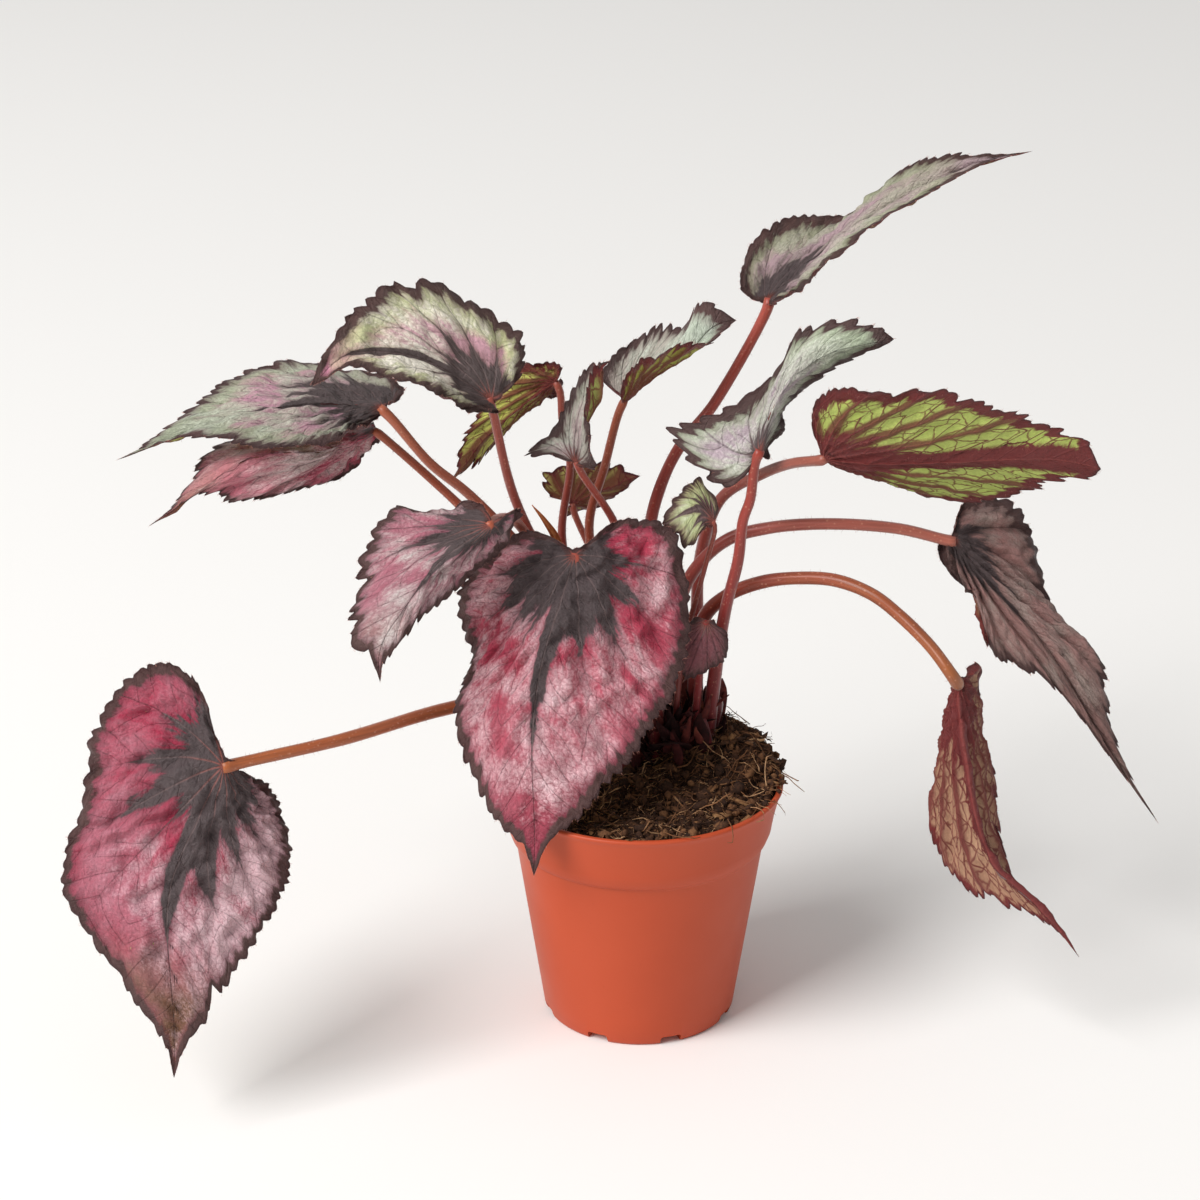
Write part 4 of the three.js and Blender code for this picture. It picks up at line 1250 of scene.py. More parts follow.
    def lift(self, t: Array, ring: Array, u: Array, v: Array) -> tuple[Array, Array]:
        """Relief in mm of the sheet, and how much further the veins stand out below."""
        pleat = self.leaf.tint.pleat
        size = min(1.0, self.length / 80)
        inner = np.sin(math.pi * t) ** 2
        wave = np.sin(2 * math.pi * self.ruffles * t + self.seed)
        lift = self.ruffle_rise * ring ** 5 * inner * wave
        frills = round(2.5 * self.length / self.tooth_pitch / 2.8)
        frill = np.sin(2 * math.pi * frills * t + self.seed)
        lift += self.frill_rise * size * ring ** 9 * inner * frill
        far, off, barb = self.vein_fields(u, v)
        calm = (1 - ring ** 12) * smoothstep(far, 2.0, 16.0) * size
        rough = self.leaf.tint.crumple
        bulge = self.panel_rise * pleat * (smoothstep(off, 0.0, 8.0 * size) - 0.5)
        bulge += self.barb_panel_rise * rough * (smoothstep(barb, 0.0, 3.2) - 0.5)
        crumple = rough * self.crumple(u * self.length, v * self.length)
        phase, chance = self.teeth(t)
        curl = self.curl_rise * size * ring ** 16 * inner
        lift += curl * (chance - 0.5) * np.sin(math.pi * phase)
        lift += calm * (bulge + crumple)
        rib = self.rib_rise * np.exp(-(off / 0.8) ** 2) * np.exp(-far / (0.45 * self.length))
        rib += self.barb_rise * np.exp(-(barb / 0.6) ** 2) * calm
        return lift, rib * (1 - ring ** 4)

    def lay(self, t: Array, s: Array) -> Laid:
        """Lay the grid over both sides: up the top side to the margin and back below."""
        rows = 2 * self.rings + 1
        row = np.round(s * rows)
        top = row <= self.rings
        ring = 1 - (1 - np.where(top, row, rows - row) / self.rings) ** 1.25
        mark = self.margin(t)
        cut = self.cut(t)
        reach = ring * (1 - cut * ring ** 8)
        u = self.centre + (mark[:, 0] - self.centre) * reach
        v = mark[:, 1] * reach
        lift, rib = self.lift(t, ring, u, v)
        half = self.half_edge + (self.half - self.half_edge) * (1 - ring ** 6)
        offset = np.where(top, lift + half, lift - half - rib)
        plain = self.sheet(u, v)
        brim_u = self.centre + (mark[:, 0] - self.centre) * (1 - cut)
        edge = np.linalg.norm(self.sheet(brim_u, mark[:, 1] * (1 - cut)) - plain, axis=1)
        places = within_box(plain + self.normals(u, v) * offset[:, None])
        return Laid(places, np.stack([u, v], axis=1), {"edge": edge})

    def hairs(self, bm: BMesh) -> None:
        """Set hairs along the margin and over the underside."""
        draw = np.random.default_rng(300 + int(self.leaf.name))
        rows = 2 * self.rings + 1
        fringe = draw.random(int(self.length * self.fringe))
        brim = self.lay(fringe, np.full_like(fringe, self.rings / rows)).places
        inner = self.lay(fringe, np.full_like(fringe, (self.rings - 3) / rows)).places
        count = int(self.length * self.down)
        spots = draw.random(count), 0.55 + 0.35 * draw.random(count)
        below = self.lay(*spots)
        roots = np.vstack([brim, below.places])
        out = -self.normals(below.flat[:, 0], below.flat[:, 1])
        ways = np.vstack([unit(brim - inner), out])
        add_hairs(bm, roots, ways, self.hair_length, int(self.leaf.name), 2)

    def build(self, down: bpy.types.Material) -> Any:
        """Make the blade's piece.

        Args:
            down: the finish of its hairs.

        Returns:
            The piece.
        """
        leaf = self.leaf
        finish = BladeFinish(leaf, self.length)
        bm = skin(self.sectors, 2 * self.rings + 1, self.lay, under_from=0.5)
        self.hairs(bm)
        piece = finished(
            f"leaf_{leaf.name}", bm, [finish.build(Side.TOP), finish.build(Side.UNDER), down]
        )
        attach(piece, "root")
        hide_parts(f"blade_{leaf.name}")
        return piece


@dataclass
class Stem:
    """The stalk of one leaf, from the blade's underside to the soil."""

    leaf: Leaf
    sides: int = 14
    pitch: float = 2.5
    foot_depth: float = 7.0
    ridges: tuple[int, float] = (5, 0.035)
    hairs: float = 1.6
    hair_length: float = 1.5

    def path(self, blade: Blade) -> Array:
        """Points along the stalk's middle, in mm, from the blade down."""
        top = blade.sheet(np.array([0.01]), np.array([0.0]))[0]
        down = [VIEW.seen(px, py, y) for px, py, y in self.leaf.stalk]
        x, y = self.leaf.foot
        foot = np.array([x, y, float(Soil.height(x, y)) - self.foot_depth])
        rough = np.vstack([top, *down, foot])
        length = strides(rough).sum()
        return spline(rough, max(12, int(length / self.pitch)))

    def build(self, blade: Blade, down: bpy.types.Material) -> Any:
        """Make the stalk's piece.

        Args:
            blade: the blade that it carries.
            down: the finish of its hairs.

        Returns:
            The piece.
        """
        path = self.path(blade)
        length = strides(path).sum()
        t = np.linspace(0.0, 1.0, len(path))
        top, foot = self.leaf.radius
        radii = top + (foot - top) * t
        walked = t * length
        # Swollen at the blade and at the foot, and a little uneven between.
        radii = radii * (1 + 0.22 * np.exp(-walked / 5.0))
        radii = radii * (1 + 0.35 * np.exp(-(length - walked) / 16.0))
        radii = radii * (1 + 0.03 * wander(walked * 0.12, float(self.leaf.name)))
        radii[0] *= 0.75
        layout = tube(path, radii, self.sides, self.ridges)
        bm = skin(self.sides, len(path) + 1, layout)
        draw = np.random.default_rng(100 + int(self.leaf.name))
        count = int(length * self.hairs)
        rows = draw.integers(2, len(path) - 4, count)
        places = layout(draw.integers(0, self.sides, count) / self.sides,
                        (rows + 1) / (len(path) + 1)).places
        places += (path[rows + 1] - path[rows]) * draw.random((count, 1))
        ways = unit(places - path[rows])
        add_hairs(bm, places, ways, self.hair_length, 200 + int(self.leaf.name), 1)
        finish = StemFinish(f"begonia_stalk_{self.leaf.name}", *self.leaf.stalk_tint, length)
        piece = finished(f"petiole_{self.leaf.name}", bm, [finish.build(), down])
        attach(piece, "root")
        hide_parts(f"stalk_{self.leaf.name}")
        return piece


# ---------------------------------------------------------------- pot


@dataclass
class Pot:
    """Nursery pot: a turned shell with a rim band, drain slots and foot notches."""

    rim_radius: float = 60.0
    height: float = 105.0
    band_radius: float = 55.4
    band_low: float = 87.0
    shoulder_low: float = 80.0
    body_radius: float = 51.8
    base_radius: float = 39.9
    wall: float = 1.5
    floor_top: float = 4.2
    recess: float = 2.2
    steps: int = 160
    drains: int = 6
    slot_reach: float = 25.0
    slot_size: tuple[float, float, float] = (11.0, 5.0, 12.0)
    slot_round: float = 1.6
    notches: int = 8
    notch_width: float = 9.0
    notch_height: float = 4.0
    notch_round: float = 1.2

    def radius_at(self, z: float) -> float:
        """Outer radius of the tapering body."""
        taper = (self.body_radius - self.base_radius) * z / (self.shoulder_low - 1)
        return self.base_radius + taper

    def profile(self) -> list[tuple[float, float]]:
        """Half section as radius and height, from the middle of the underside to the floor's."""
        inner = self.radius_at(self.floor_top) - self.wall
        outside = [
            (0, 0), (13.4, 0), (14, 0.3), (15.6, self.recess - 0.3), (16.2, self.recess),
            (34, self.recess), (34.4, self.recess - 0.3), (35, 0.3), (35.4, 0),
            (38.3, 0), (39.0, 0.15), (39.5, 0.6), (self.radius_at(2), 2),
        ]
        outside += [(self.radius_at(z), z) for z in (10, 25, 40, 55, 70, 78)]
        outside += [
            (self.body_radius + 0.15, 79.0), (self.body_radius + 0.6, 79.4),
            (self.body_radius + 1.2, 79.8), (self.body_radius + 1.9, 80.9),
            (self.body_radius + 2.4, 82.2), (55.0, 84.4), (55.25, 86.0),
            (self.band_radius, self.band_low), (56.6, 93.0), (58.0, 98.5), (58.7, 101.2),
            (59.2, 102.6), (59.7, 103.4), (self.rim_radius, 104.0), (59.95, 104.5), (59.6, 104.9),
            (59.1, self.height),
        ]
        inside = [
            (58.3, self.height), (57.8, 104.8), (57.6, 104.4), (57.3, 102.5), (57.0, 101.0),
            (55.4, 94.0), (self.band_radius - self.wall, self.band_low),
            (self.body_radius - self.wall + 0.4, 82.0), (self.body_radius - self.wall, 79.5),
            (self.radius_at(40) - self.wall, 40), (inner + 0.3, 6.5), (inner, self.floor_top + 1.2),
            (inner - 0.5, self.floor_top + 0.4), (inner - 1.5, self.floor_top), (0, self.floor_top),
        ]
        return outside + inside

    @staticmethod
    def bent(x: float, y: float, z: float) -> tuple[float, float, float]:
        """Rim as handled: pressed in and down a little on the right."""
        turn = math.atan2(y, x)
        press = math.exp(-((turn - 0.1) / 0.26) ** 2) * float(smoothstep(z, 84.0, 104.0))
        slack = 0.25 * math.sin(2 * turn + 0.6) * float(smoothstep(z, 60.0, 104.0))
        scale = 1 - (0.9 * press + max(slack, 0.0)) / max(math.hypot(x, y), 1.0)
        return x * scale, y * scale, z - 0.5 * press

    def shell(self) -> BMesh:
        """Spin the half section into a closed shell, in metres."""
        bm = bmesh.new()
        verts = [bm.verts.new((r, 0.0, z)) for r, z in self.profile()]
        edges = [bm.edges.new(pair) for pair in zip(verts[:-1], verts[1:])]
        bmesh.ops.spin(bm, geom=[*verts, *edges], cent=(0, 0, 0), axis=(0, 0, 1),
                       dvec=(0, 0, 0), angle=2 * math.pi, steps=self.steps, use_merge=True,
                       use_duplicate=False)
        bmesh.ops.remove_doubles(bm, verts=bm.verts, dist=1e-4)
        bmesh.ops.recalc_face_normals(bm, faces=bm.faces)
        return bm

    def cutters(self) -> BMesh:
        """Blocks that cut the drain slots and the foot notches."""
        bm = bmesh.new()
        slot, notch = self.slot_size, (12, self.notch_width, 2 * self.notch_height)
        for i in range(self.drains):
            turn = Matrix.Rotation(2 * math.pi * i / self.drains, 4, "Z")
            spot = turn @ Matrix.Translation((self.slot_reach, 0, 2))
            self._block(bm, spot @ Matrix.Diagonal((*slot, 1)), self.slot_round, lambda e: (
                abs(e.verts[0].co.z - e.verts[1].co.z) > slot[2] / 2))
        for i in range(self.notches):
            turn = Matrix.Rotation(2 * math.pi * (i + 0.42) / self.notches, 4, "Z")
            spot = turn @ Matrix.Translation((self.base_radius + 1, 0, -0.4))
            self._block(bm, spot @ Matrix.Diagonal((*notch, 1)), self.notch_round, lambda e: (
                e.calc_length() > notch[0] - 1 and min(v.co.z for v in e.verts) > 0))
        bmesh.ops.recalc_face_normals(bm, faces=bm.faces)
        return bm

    @staticmethod
    def _block(
        bm: BMesh, spot: Matrix, offset: float, rounded: Callable[[Any], bool]
    ) -> None:
        """Add a unit block, placed by a matrix, with the edges that a test picks rounded."""
        made = bmesh.ops.create_cube(bm, size=1.0, matrix=spot)
        edges = dict.fromkeys(e for v in made["verts"] for e in v.link_edges)
        bmesh.ops.bevel(bm, geom=[e for e in edges if rounded(e)], offset=offset,
                        affect="EDGES", segments=4, profile=0.5, material=-1)

    def build(self) -> Any:
        """Make the pot's piece."""
        body = finished("pot_shell", self.shell(), [PotFinish().build()])
        tool = finished("pot_cutters", self.cutters(), [])
        cut = body.modifiers.new("cut", "BOOLEAN")
        cut.operation = "DIFFERENCE"
        cut.solver = "EXACT"
        cut.object = tool
        mesh = bpy.data.meshes.new_from_object(
            body.evaluated_get(bpy.context.evaluated_depsgraph_get())
        )
        body.modifiers.clear()
        body.data = mesh
        bpy.data.objects.remove(tool)
        bm = bmesh.new()
        bm.from_mesh(mesh)
        for vert in bm.verts:
            vert.co = Vector(self.bent(*vert.co)) * MM
        bmesh.ops.remove_doubles(bm, verts=bm.verts, dist=1e-6)
        for face in bm.faces:
            face.smooth = True
        for edge in bm.edges:
            if len(edge.link_faces) == 2 and edge.calc_face_angle(0.0) > math.radians(38):
                edge.smooth = False
        bm.to_mesh(mesh)
        bm.free()
        mesh.name = "pot_shell"
        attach(body, "root")
        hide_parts("pot")
        return body


# ---------------------------------------------------------------- soil and crown


@dataclass
class Soil:
    """Heaped peat and coir with crumbs, flakes and loose fibres.

    side is the radius and height in mm of the bed's underside and side, crumb_reach and
    fibre_reach how far out loose pieces lie, and lip where the rim begins to hold them up.
    """

    columns: int = 240
    rings: int = 84
    top_radius: float = 55.9
    side: tuple = ((0.0, 5.0), (36.5, 5.0), (38.9, 8.0), (49.7, 81.0), (53.0, 88.5), (55.4, 98.0))
    crumb_reach: float = 55.0
    fibre_reach: float = 54.0
    lip: float = 56.0
    crumbs: int = 2400
    fibres: int = 3000
    wisps: int = 30
    spill: int = 260
    rim_radius: float = 60.3
    rim_top: float = 105.4
    seed: int = 7

    @staticmethod
    def height(x: Any, y: Any) -> Any:
        """Height in mm of the soil's surface, as in the CAD."""
        mound = 15 * np.exp(-((x - 26) ** 2 + (y - 24) ** 2) / (2 * 22 ** 2))
        lumps = np.sin(x * 0.43 + y * 0.21) * np.cos(y * 0.37 - x * 0.17)
        edge = smoothstep(np.hypot(x, y), 42, 57)
        return 100.5 + mound * (1 - 0.35 * edge) + 1.3 * lumps

    @staticmethod
    def heap(x: Any, y: Any) -> Any:
        """Height in mm that loose soil adds on the right, where it stands over the rim."""
        return 8.0 * np.exp(-((x - 45) ** 2 + (y - 14) ** 2) / (2 * 17 ** 2))

    @staticmethod
    def _clods(x: float, y: float) -> float:
        """Height in mm that clods and crumbs add at a place."""
        spot = Vector((x * 0.15, y * 0.15, 3.0))
        lump = 1.0 - min(noise.voronoi(spot)[0][0], 1.0)
        broad = noise.fractal(spot * 0.5, 1.0, 2.0, 2)
        fine = noise.fractal(spot * 4.0, 0.8, 2.0, 4)
        return 3.0 * lump + 2.8 * broad + 1.3 * fine - 2.2

    def surface(self, x: float, y: float) -> float:
        """Height in mm of the finished surface."""
        return float(self.height(x, y) + self.heap(x, y)) + self._clods(x, y)

    def lay(self, turn: Array, s: Array) -> Laid:
        """Lay the grid from the underside's middle, up the side and in over the top."""
        columns = self.columns
        angle = 2 * math.pi * (np.round(turn * columns) % columns) / columns
        side_r, side_z = np.array(self.side).T
        rows = self.rings + len(self.side)
        row = np.round(s * rows).astype(int)
        on_side = row < len(self.side)
        index = np.clip(row, 0, len(self.side) - 1)
        ring = np.clip((rows - row) / self.rings, 0.0, 1.0)
        radius = np.where(on_side, side_r[index], self.top_radius * ring ** 0.9)
        x, y = radius * np.cos(angle), radius * np.sin(angle)
        clods = np.array([self._clods(a, b) for a, b in zip(x, y)])
        z = np.where(on_side, side_z[index], self.height(x, y) + self.heap(x, y) + clods)
        tone = np.clip(0.3 + 0.07 * clods, 0.0, 1.0)
        return Laid(np.stack([x, y, z], axis=1), None, {"tone": tone})

    @staticmethod
    def _spread(draw: Rng, radius: float) -> tuple[float, float]:
        """A place drawn evenly over a disc, in mm."""
        reach, angle = radius * math.sqrt(draw.random()), draw.random() * 2 * math.pi
        return reach * math.cos(angle), reach * math.sin(angle)

    def _crumb_shapes(self, draw: Rng) -> list[BMesh]:
        """Irregular lumps of about unit size."""
        shapes = []
        for _ in range(12):
            bm = bmesh.new()
            bmesh.ops.create_icosphere(bm, subdivisions=1, radius=1.0)
            for vert in bm.verts:
                vert.co *= draw.uniform(0.7, 1.25)
            shapes.append(bm)
        return shapes

    def _place_crumb(self, draw: Rng, shape: Array) -> Placed:
        """Places in mm and tone of one crumb or flake."""
        x, y = self._spread(draw, self.crumb_reach)
        size = 0.45 + 2.4 * draw.random() ** 4
        flake = draw.random() < 0.25
        least, most = ([1.6, 0.5, 0.15], [3.2, 1.1, 0.4]) if flake else (0.5, 1.5)
        stretch = draw.uniform(least, most, 3)
        tip = Matrix.Rotation(draw.uniform(-0.7, 0.7), 3, Vector(draw.normal(size=3)).normalized())
        turn = np.array(tip @ Matrix.Rotation(draw.random() * 6.3, 3, "Z"))
        middle = [x, y, self.surface(x, y) + 0.3 * size]
        tone = draw.uniform(0.3, 0.9) if flake else draw.uniform(0.15, 0.7)
        return self._clear((shape * size * stretch) @ turn.T + middle), float(tone)

    def _clear(self, places: Array) -> Array:
        """Places in mm, kept above the pot's rim where they reach over it."""
        over = np.hypot(places[:, 0], places[:, 1]) > self.lip
        places[:, 2] = np.where(over, np.maximum(places[:, 2], self.rim_top + 0.1), places[:, 2])
        return places

    def _place_spill(self, draw: Rng, shape: Array) -> Placed:
        """Places in mm and tone of one lump that lies over the rim on the right."""
        moved, tone = self._place_crumb(draw, shape)
        angle = draw.normal(0.12, 0.3)
        out = draw.uniform(52.0, 59.5)
        spot = np.array([out * math.cos(angle), out * math.sin(angle)])
        rise = self.rim_top + 5.0 * math.exp(-((angle - 0.15) / 0.35) ** 2) * (60.5 - out) / 8.0
        middle = np.array([*spot, rise + draw.uniform(-0.5, 1.0)])
        return self._clear((moved - moved.mean(axis=0)) * 0.7 + middle), tone

    @staticmethod
    def _fibre_shapes(draw: Rng) -> list[BMesh]:
        """Bent strands of unit length: a three-sided ring drawn out along a curve."""
        shapes = []
        for _ in range(16):
            heading, bend, steps = 0.0, draw.normal() * 0.3, 6
            place, thick = Vector((0.0, 0.0, 0.0)), draw.uniform(0.012, 0.032)
            bm = bmesh.new()
            quarter = Matrix.Rotation(math.pi / 2, 4, "Y")
            made = bmesh.ops.create_circle(bm, segments=3, radius=thick, cap_ends=True,
                                           matrix=quarter)
            face = made["verts"][0].link_faces[0]
            for i in range(steps):
                grown = bmesh.ops.extrude_discrete_faces(bm, faces=[face])
                face = grown["faces"][0]
                heading += bend + draw.normal() * 0.22
                step = Vector((math.cos(heading), math.sin(heading), draw.normal() * 0.12)) / steps
                place = place + step
                middle = face.calc_center_median()
                taper = 0.5 if i == steps - 1 else 0.97
                for vert in face.verts:
                    vert.co = place + (vert.co - middle) * taper
            shapes.append(bm)
        return shapes

    def _place_fibre(self, draw: Rng, shape: Array) -> Placed:
        """Places in mm and tone of one fibre draped over the soil."""
        x, y = self._spread(draw, self.fibre_reach)
        length = 3.0 + 13.0 * draw.random() ** 2
        heading = draw.random() * 2 * math.pi
        turn = np.array(Matrix.Rotation(heading, 3, "Z"))
        moved = (shape * length) @ turn.T + [x, y, 0.0]
        reach = np.hypot(moved[:, 0], moved[:, 1])
        moved[:, :2] *= np.minimum(1.0, 56.4 / np.maximum(reach, 1e-6))[:, None]
        climb = max(draw.normal() * 0.36, -0.05)
        rise = np.array([self.surface(a, b) for a, b in moved[:, :2]])
        mean = 0.6 * rise + 0.4 * rise.max()
        moved[:, 2] += mean + 0.4 + climb * shape[:, 0] * length
        return moved, float(draw.random() ** 1.5)

    def _place_wisp(self, draw: Rng, shape: Array) -> Placed:
        """Places in mm and tone of one fibre that hangs out over the rim."""
        angle = draw.normal(0.1, 0.45) if draw.random() < 0.6 else draw.uniform(-2.9, 1.1)
        length = draw.uniform(8.0, 16.0)
        heading = angle + draw.normal() * 0.6
        turn = np.array(Matrix.Rotation(heading, 3, "Z"))
        start = [self.fibre_reach * math.cos(angle), self.fibre_reach * math.sin(angle), 0.0]
        moved = (shape * length) @ turn.T + start
        out = np.hypot(moved[:, 0], moved[:, 1])
        over = np.maximum(out - self.rim_radius, 0.0)
        base = max(self.rim_top + 0.5, self.surface(*start[:2]) + 0.4)
        fall = smoothstep(out, self.fibre_reach, self.rim_radius) * (base - self.rim_top - 0.5)
        moved[:, 2] += base - fall - 0.9 * over
        return moved, float(draw.uniform(0.4, 1.0))

    def build(self) -> list[Any]:
        """Make the soil's pieces."""
        draw = np.random.default_rng(self.seed)
        peat, coir = PEAT.build(), COIR.build()
        crumbs = strew(self._crumb_shapes(draw), self.crumbs, partial(self._place_crumb, draw))
        spill = strew(self._crumb_shapes(draw), self.spill, partial(self._place_spill, draw))
        strands = self._fibre_shapes(draw)
        fibres = strew(strands, self.fibres, partial(self._place_fibre, draw))
        wisps = strew(strands, self.wisps, partial(self._place_wisp, draw))
        bed = skin(self.columns, self.rings + len(self.side), self.lay)
        forms = {"bed": bed, "crumbs": crumbs, "spill": spill, "fibres": fibres, "wisps": wisps}
        pieces = []
        for name, bm in forms.items():
            finish = coir if name in ("fibres", "wisps") else peat
            pieces.append(finished(f"soil_{name}", bm, [finish]))
        for piece in pieces:
            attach(piece, "root")
            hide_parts("soil")
        return pieces


@dataclass
class Rhizome:
    """Creeping stem: scarred knobs in a row, with withered stipules and stubs of old stalks."""

    soil: Soil
    run: tuple = ((-16, 17), (-2, 25), (14, 24), (33, 26))
    radius: float = 6.4
    sink: float = 1.4
    knobs: int = 9
    scales: int = 210
    bud: tuple[float, ...] = (26.5, 10.0, 3.7, 17.0)
    stubs: tuple = ((19, 15, 3.1, 12), (26, 13, 2.7, 9), (11, 14, 2.9, 10), (30, 20, 3.2, 14),
                    (3, 16, 2.6, 9), (-6, 19, 2.4, 7), (22, 28, 3.0, 12), (15, 20, 3.4, 13))
    seed: int = 11

    def _top(self, x: Any, y: Any) -> Any:
        """Height in mm of the soil that the crown stands in."""
        return self.soil.height(x, y) + 0.6 * self.soil.heap(x, y)

    def _knobs(self) -> BMesh:
        """The creeping stem itself."""
        flat = np.array([(x, y, 0.0) for x, y in self.run], float)
        path = spline(flat, 60)
        path[:, 2] = self._top(path[:, 0], path[:, 1]) - self.sink
        t = np.linspace(0, 1, len(path))
        bulge = 1 + 0.16 * np.abs(np.sin(self.knobs * math.pi * t))
        ends = np.sqrt(np.clip(1 - (2 * t - 1) ** 10, 0.02, 1))
        radii = self.radius * 0.92 * bulge * ends
        bm = skin(36, len(path) + 1, tube(path, radii, 36))
        tone = bm.verts.layers.float.new("tone")
        for vert in bm.verts:
            rough = noise.fractal(vert.co * 160, 0.8, 2.1, 4)
            vert.co += vert.normal * rough * 0.9 * MM
            vert[tone] = 0.45 + 0.2 * rough
        return bm

    @staticmethod
    def _scale_shapes() -> list[BMesh]:
        """Pointed papery scales of unit length, hollowed towards the stalk."""
        shapes = []
        for curl in (0.1, 0.28, -0.12):
            t = np.linspace(0, 1, 9)
            path = np.stack([curl * t * t, 0.03 * np.sin(6 * t), t], axis=1)
            width = 0.17 * np.sin(math.pi * np.clip(0.22 + 0.78 * t, 0, 0.97)) ** 0.8
            round_lay = tube(path, width, 10)

            def lay(
                turn: Array, along: Array, round_lay: Any = round_lay, path: Array = path
            ) -> Laid:
                laid = round_lay(turn, along)
                row = np.clip(np.round(along * 10).astype(int) - 1, 0, 8)
                out = laid.places - path[row]
                hollow = 2.2 * out[:, 1] ** 2
                out[:, 0] = out[:, 0] * 0.14 - hollow
                return Laid((path[row] + out) / MM)

            shapes.append(skin(10, 10, lay))
        return shapes

    def _place_scale(self, draw: Rng, shape: Array) -> Placed:
        """Places in mm and tone of one withered scale at the foot of a stalk."""
        crowd = draw.random() < 0.6
        x, y = draw.normal((14, 15), (8, 4)) if crowd else LEAVES[draw.integers(len(LEAVES))].foot
        angle = draw.random() * 2 * math.pi
        length = draw.uniform(9.0, 26.0) if crowd else draw.uniform(5.0, 13.0)
        reach = draw.uniform(2.0, 5.0)
        x, y = x + reach * math.cos(angle), y + reach * math.sin(angle)
        lean = Matrix.Rotation(draw.uniform(-0.15, 0.75), 3, "Y")
        turn = np.array(Matrix.Rotation(angle + draw.normal() * 0.4, 3, "Z") @ lean)
        foot = [x, y, float(self._top(x, y)) - 1.5 + draw.random() * 4]
        wide = np.array([1.0, draw.uniform(0.5, 1.2), 1.0])
        return (shape * length * wide) @ turn.T + foot, float(draw.uniform(0.0, 0.85) ** 1.8)

    def _stub(self, x: float, y: float, radius: float, rise: float) -> BMesh:
        """What is left of an old stalk, swollen and cut off round."""
        z = float(self._top(x, y))
        lean = 0.25 * math.sin(x * 3.0), 0.25 * math.cos(y * 2.0)
        steps = np.linspace(-4.0, rise, 12)
        path = np.stack([x + lean[0] * steps, y + lean[1] * steps, z + steps], axis=1)
        t = np.linspace(0, 1, len(path))
        radii = radius * (1.15 - 0.35 * t) * np.sqrt(np.clip(1 - t ** 8, 0.03, 1))
        return skin(18, len(path) + 1, tube(path, radii, 18, (5, 0.05)))

    def build(self) -> list[Any]:
        """Make the pieces of the crown."""
        draw = np.random.default_rng(self.seed)
        scales = strew(self._scale_shapes(), self.scales, partial(self._place_scale, draw))
        pieces = [
            finished("rhizome_knobs", self._knobs(), [BARK.build()]),
            finished("withered_stipules", scales, [WITHERED.build()]),
        ]
        skin_finish = StemFinish("old_stalk", "54161a", "6e2424", 14.0).build()
        for i, stub in enumerate(self.stubs):
            pieces.append(finished(f"stalk_stub_{i + 1}", self._stub(*stub), [skin_finish]))
        juicy = StemFinish("young_stalk_base", "6c121c", "8c2632", self.bud[3]).build()
        pieces.append(finished("young_stalk_base", self._stub(*self.bud), [juicy]))
        for piece in pieces:
            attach(piece, "root")
            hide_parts("rhizome")
        return pieces


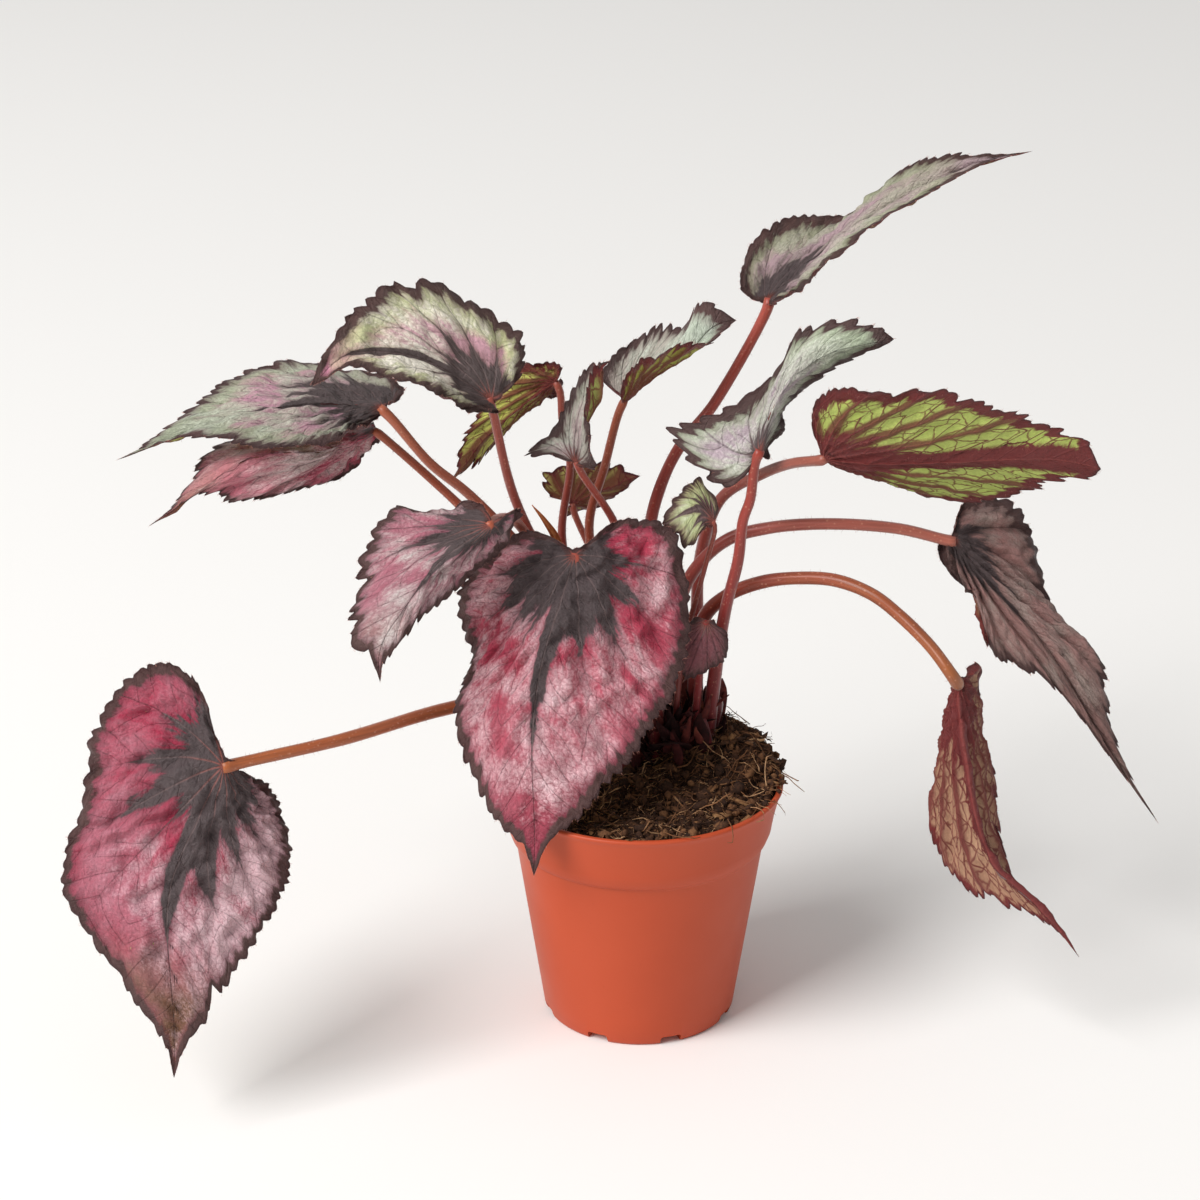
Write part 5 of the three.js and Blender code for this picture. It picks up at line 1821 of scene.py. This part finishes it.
@dataclass
class Stipule:
    """Pointed papery bract beside the stalk of leaf 4."""

    points: tuple = ((532, 505, 4), (545, 521, 5), (557, 542, 8), (556, 576, 13.5))
    width: float = 2.4
    thick: float = 0.45

    def build(self) -> Any:
        """Make the bract's piece."""
        path = spline(np.array([VIEW.seen(*p) for p in self.points]), 28)
        t = np.linspace(0, 1, len(path))
        shape = np.clip(t / 0.75, 0.03, 1.0) ** 0.7
        tubed = tube(path, self.width * shape, 20)
        thin = self.thick / self.width

        def lay(turn: Array, along: Array) -> Laid:
            laid = tubed(turn, along)
            index = np.clip(np.round(along * (len(path) + 1)).astype(int) - 1, 0, len(path) - 1)
            middle = path[index]
            ahead = unit(np.gradient(path, axis=0))[index]
            flatwise = unit(np.cross(ahead, [0.25, -0.95, 0.1]))
            facing = np.cross(flatwise, ahead)
            out = laid.places - middle
            depth = np.sum(out * facing, axis=1)[:, None] * facing
            laid.places = middle + out - depth * (1 - thin)
            laid.values["tone"] = 0.5 + 0.3 * np.sin(turn * 40)
            return laid

        bm = skin(20, len(path) + 1, lay)
        piece = finished("bract", bm, [SCALE.build()])
        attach(piece, "root")
        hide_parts("stipule")
        return piece


# ---------------------------------------------------------------- studio


@dataclass
class Studio:
    """Plain pale floor, soft daylight from the left and a bright surround."""

    floor_half: float = 40.0
    lamp_place: tuple[float, float, float] = (-3.1, -2.3, 3.7)
    lamp_size: float = 3.0
    lamp_watts: float = 295.0
    aim: tuple[float, float, float] = (-0.02, 0.0, 0.18)
    surround: float = 0.44

    def build(self) -> None:
        """Make the floor, the lamp and the surround."""
        bm = bmesh.new()
        bmesh.ops.create_grid(bm, x_segments=1, y_segments=1, size=self.floor_half)
        floor = finished("floor", bm, [PAPER.build()])
        self._lamp()
        world = bpy.data.worlds.new("surround")
        bpy.context.scene.world = world
        world.use_nodes = True
        back = world.node_tree.nodes["Background"]
        back.inputs["Color"].default_value = (1.0, 1.0, 1.0, 1.0)
        back.inputs["Strength"].default_value = self.surround
        settings = bpy.context.scene.view_settings
        settings.view_transform = "Standard"
        settings.look = "None"

    def _lamp(self) -> None:
        """Add a square soft lamp that faces the plant."""
        data = bpy.data.lights.new("window", "AREA")
        data.size = self.lamp_size
        data.energy = self.lamp_watts
        lamp = bpy.data.objects.new("window", data)
        lamp.location = self.lamp_place
        ahead = Vector(self.aim) - Vector(self.lamp_place)
        lamp.rotation_euler = ahead.to_track_quat("-Z", "Y").to_euler()
        bpy.context.scene.collection.objects.link(lamp)


def write_sizes() -> None:
    """Bring the view layer up to date."""
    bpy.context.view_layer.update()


def main() -> None:
    """Build every sub-assembly in order."""
    logging.basicConfig(level=logging.INFO, format="%(message)s")
    VIEW.build()
    Studio().build()
    soil = Soil()
    pieces = [Pot().build(), *soil.build(), *Rhizome(soil).build(), Stipule().build()]
    down = HAIR.build()
    for leaf in LEAVES:
        blade = Blade(leaf)
        pieces.append(blade.build(down))
        pieces.append(Stem(leaf).build(blade, down))
    for piece in pieces:
        log.info("%s: %d faces", piece.name, len(piece.data.polygons))
    write_sizes()


if __name__ == "__main__":
    main()
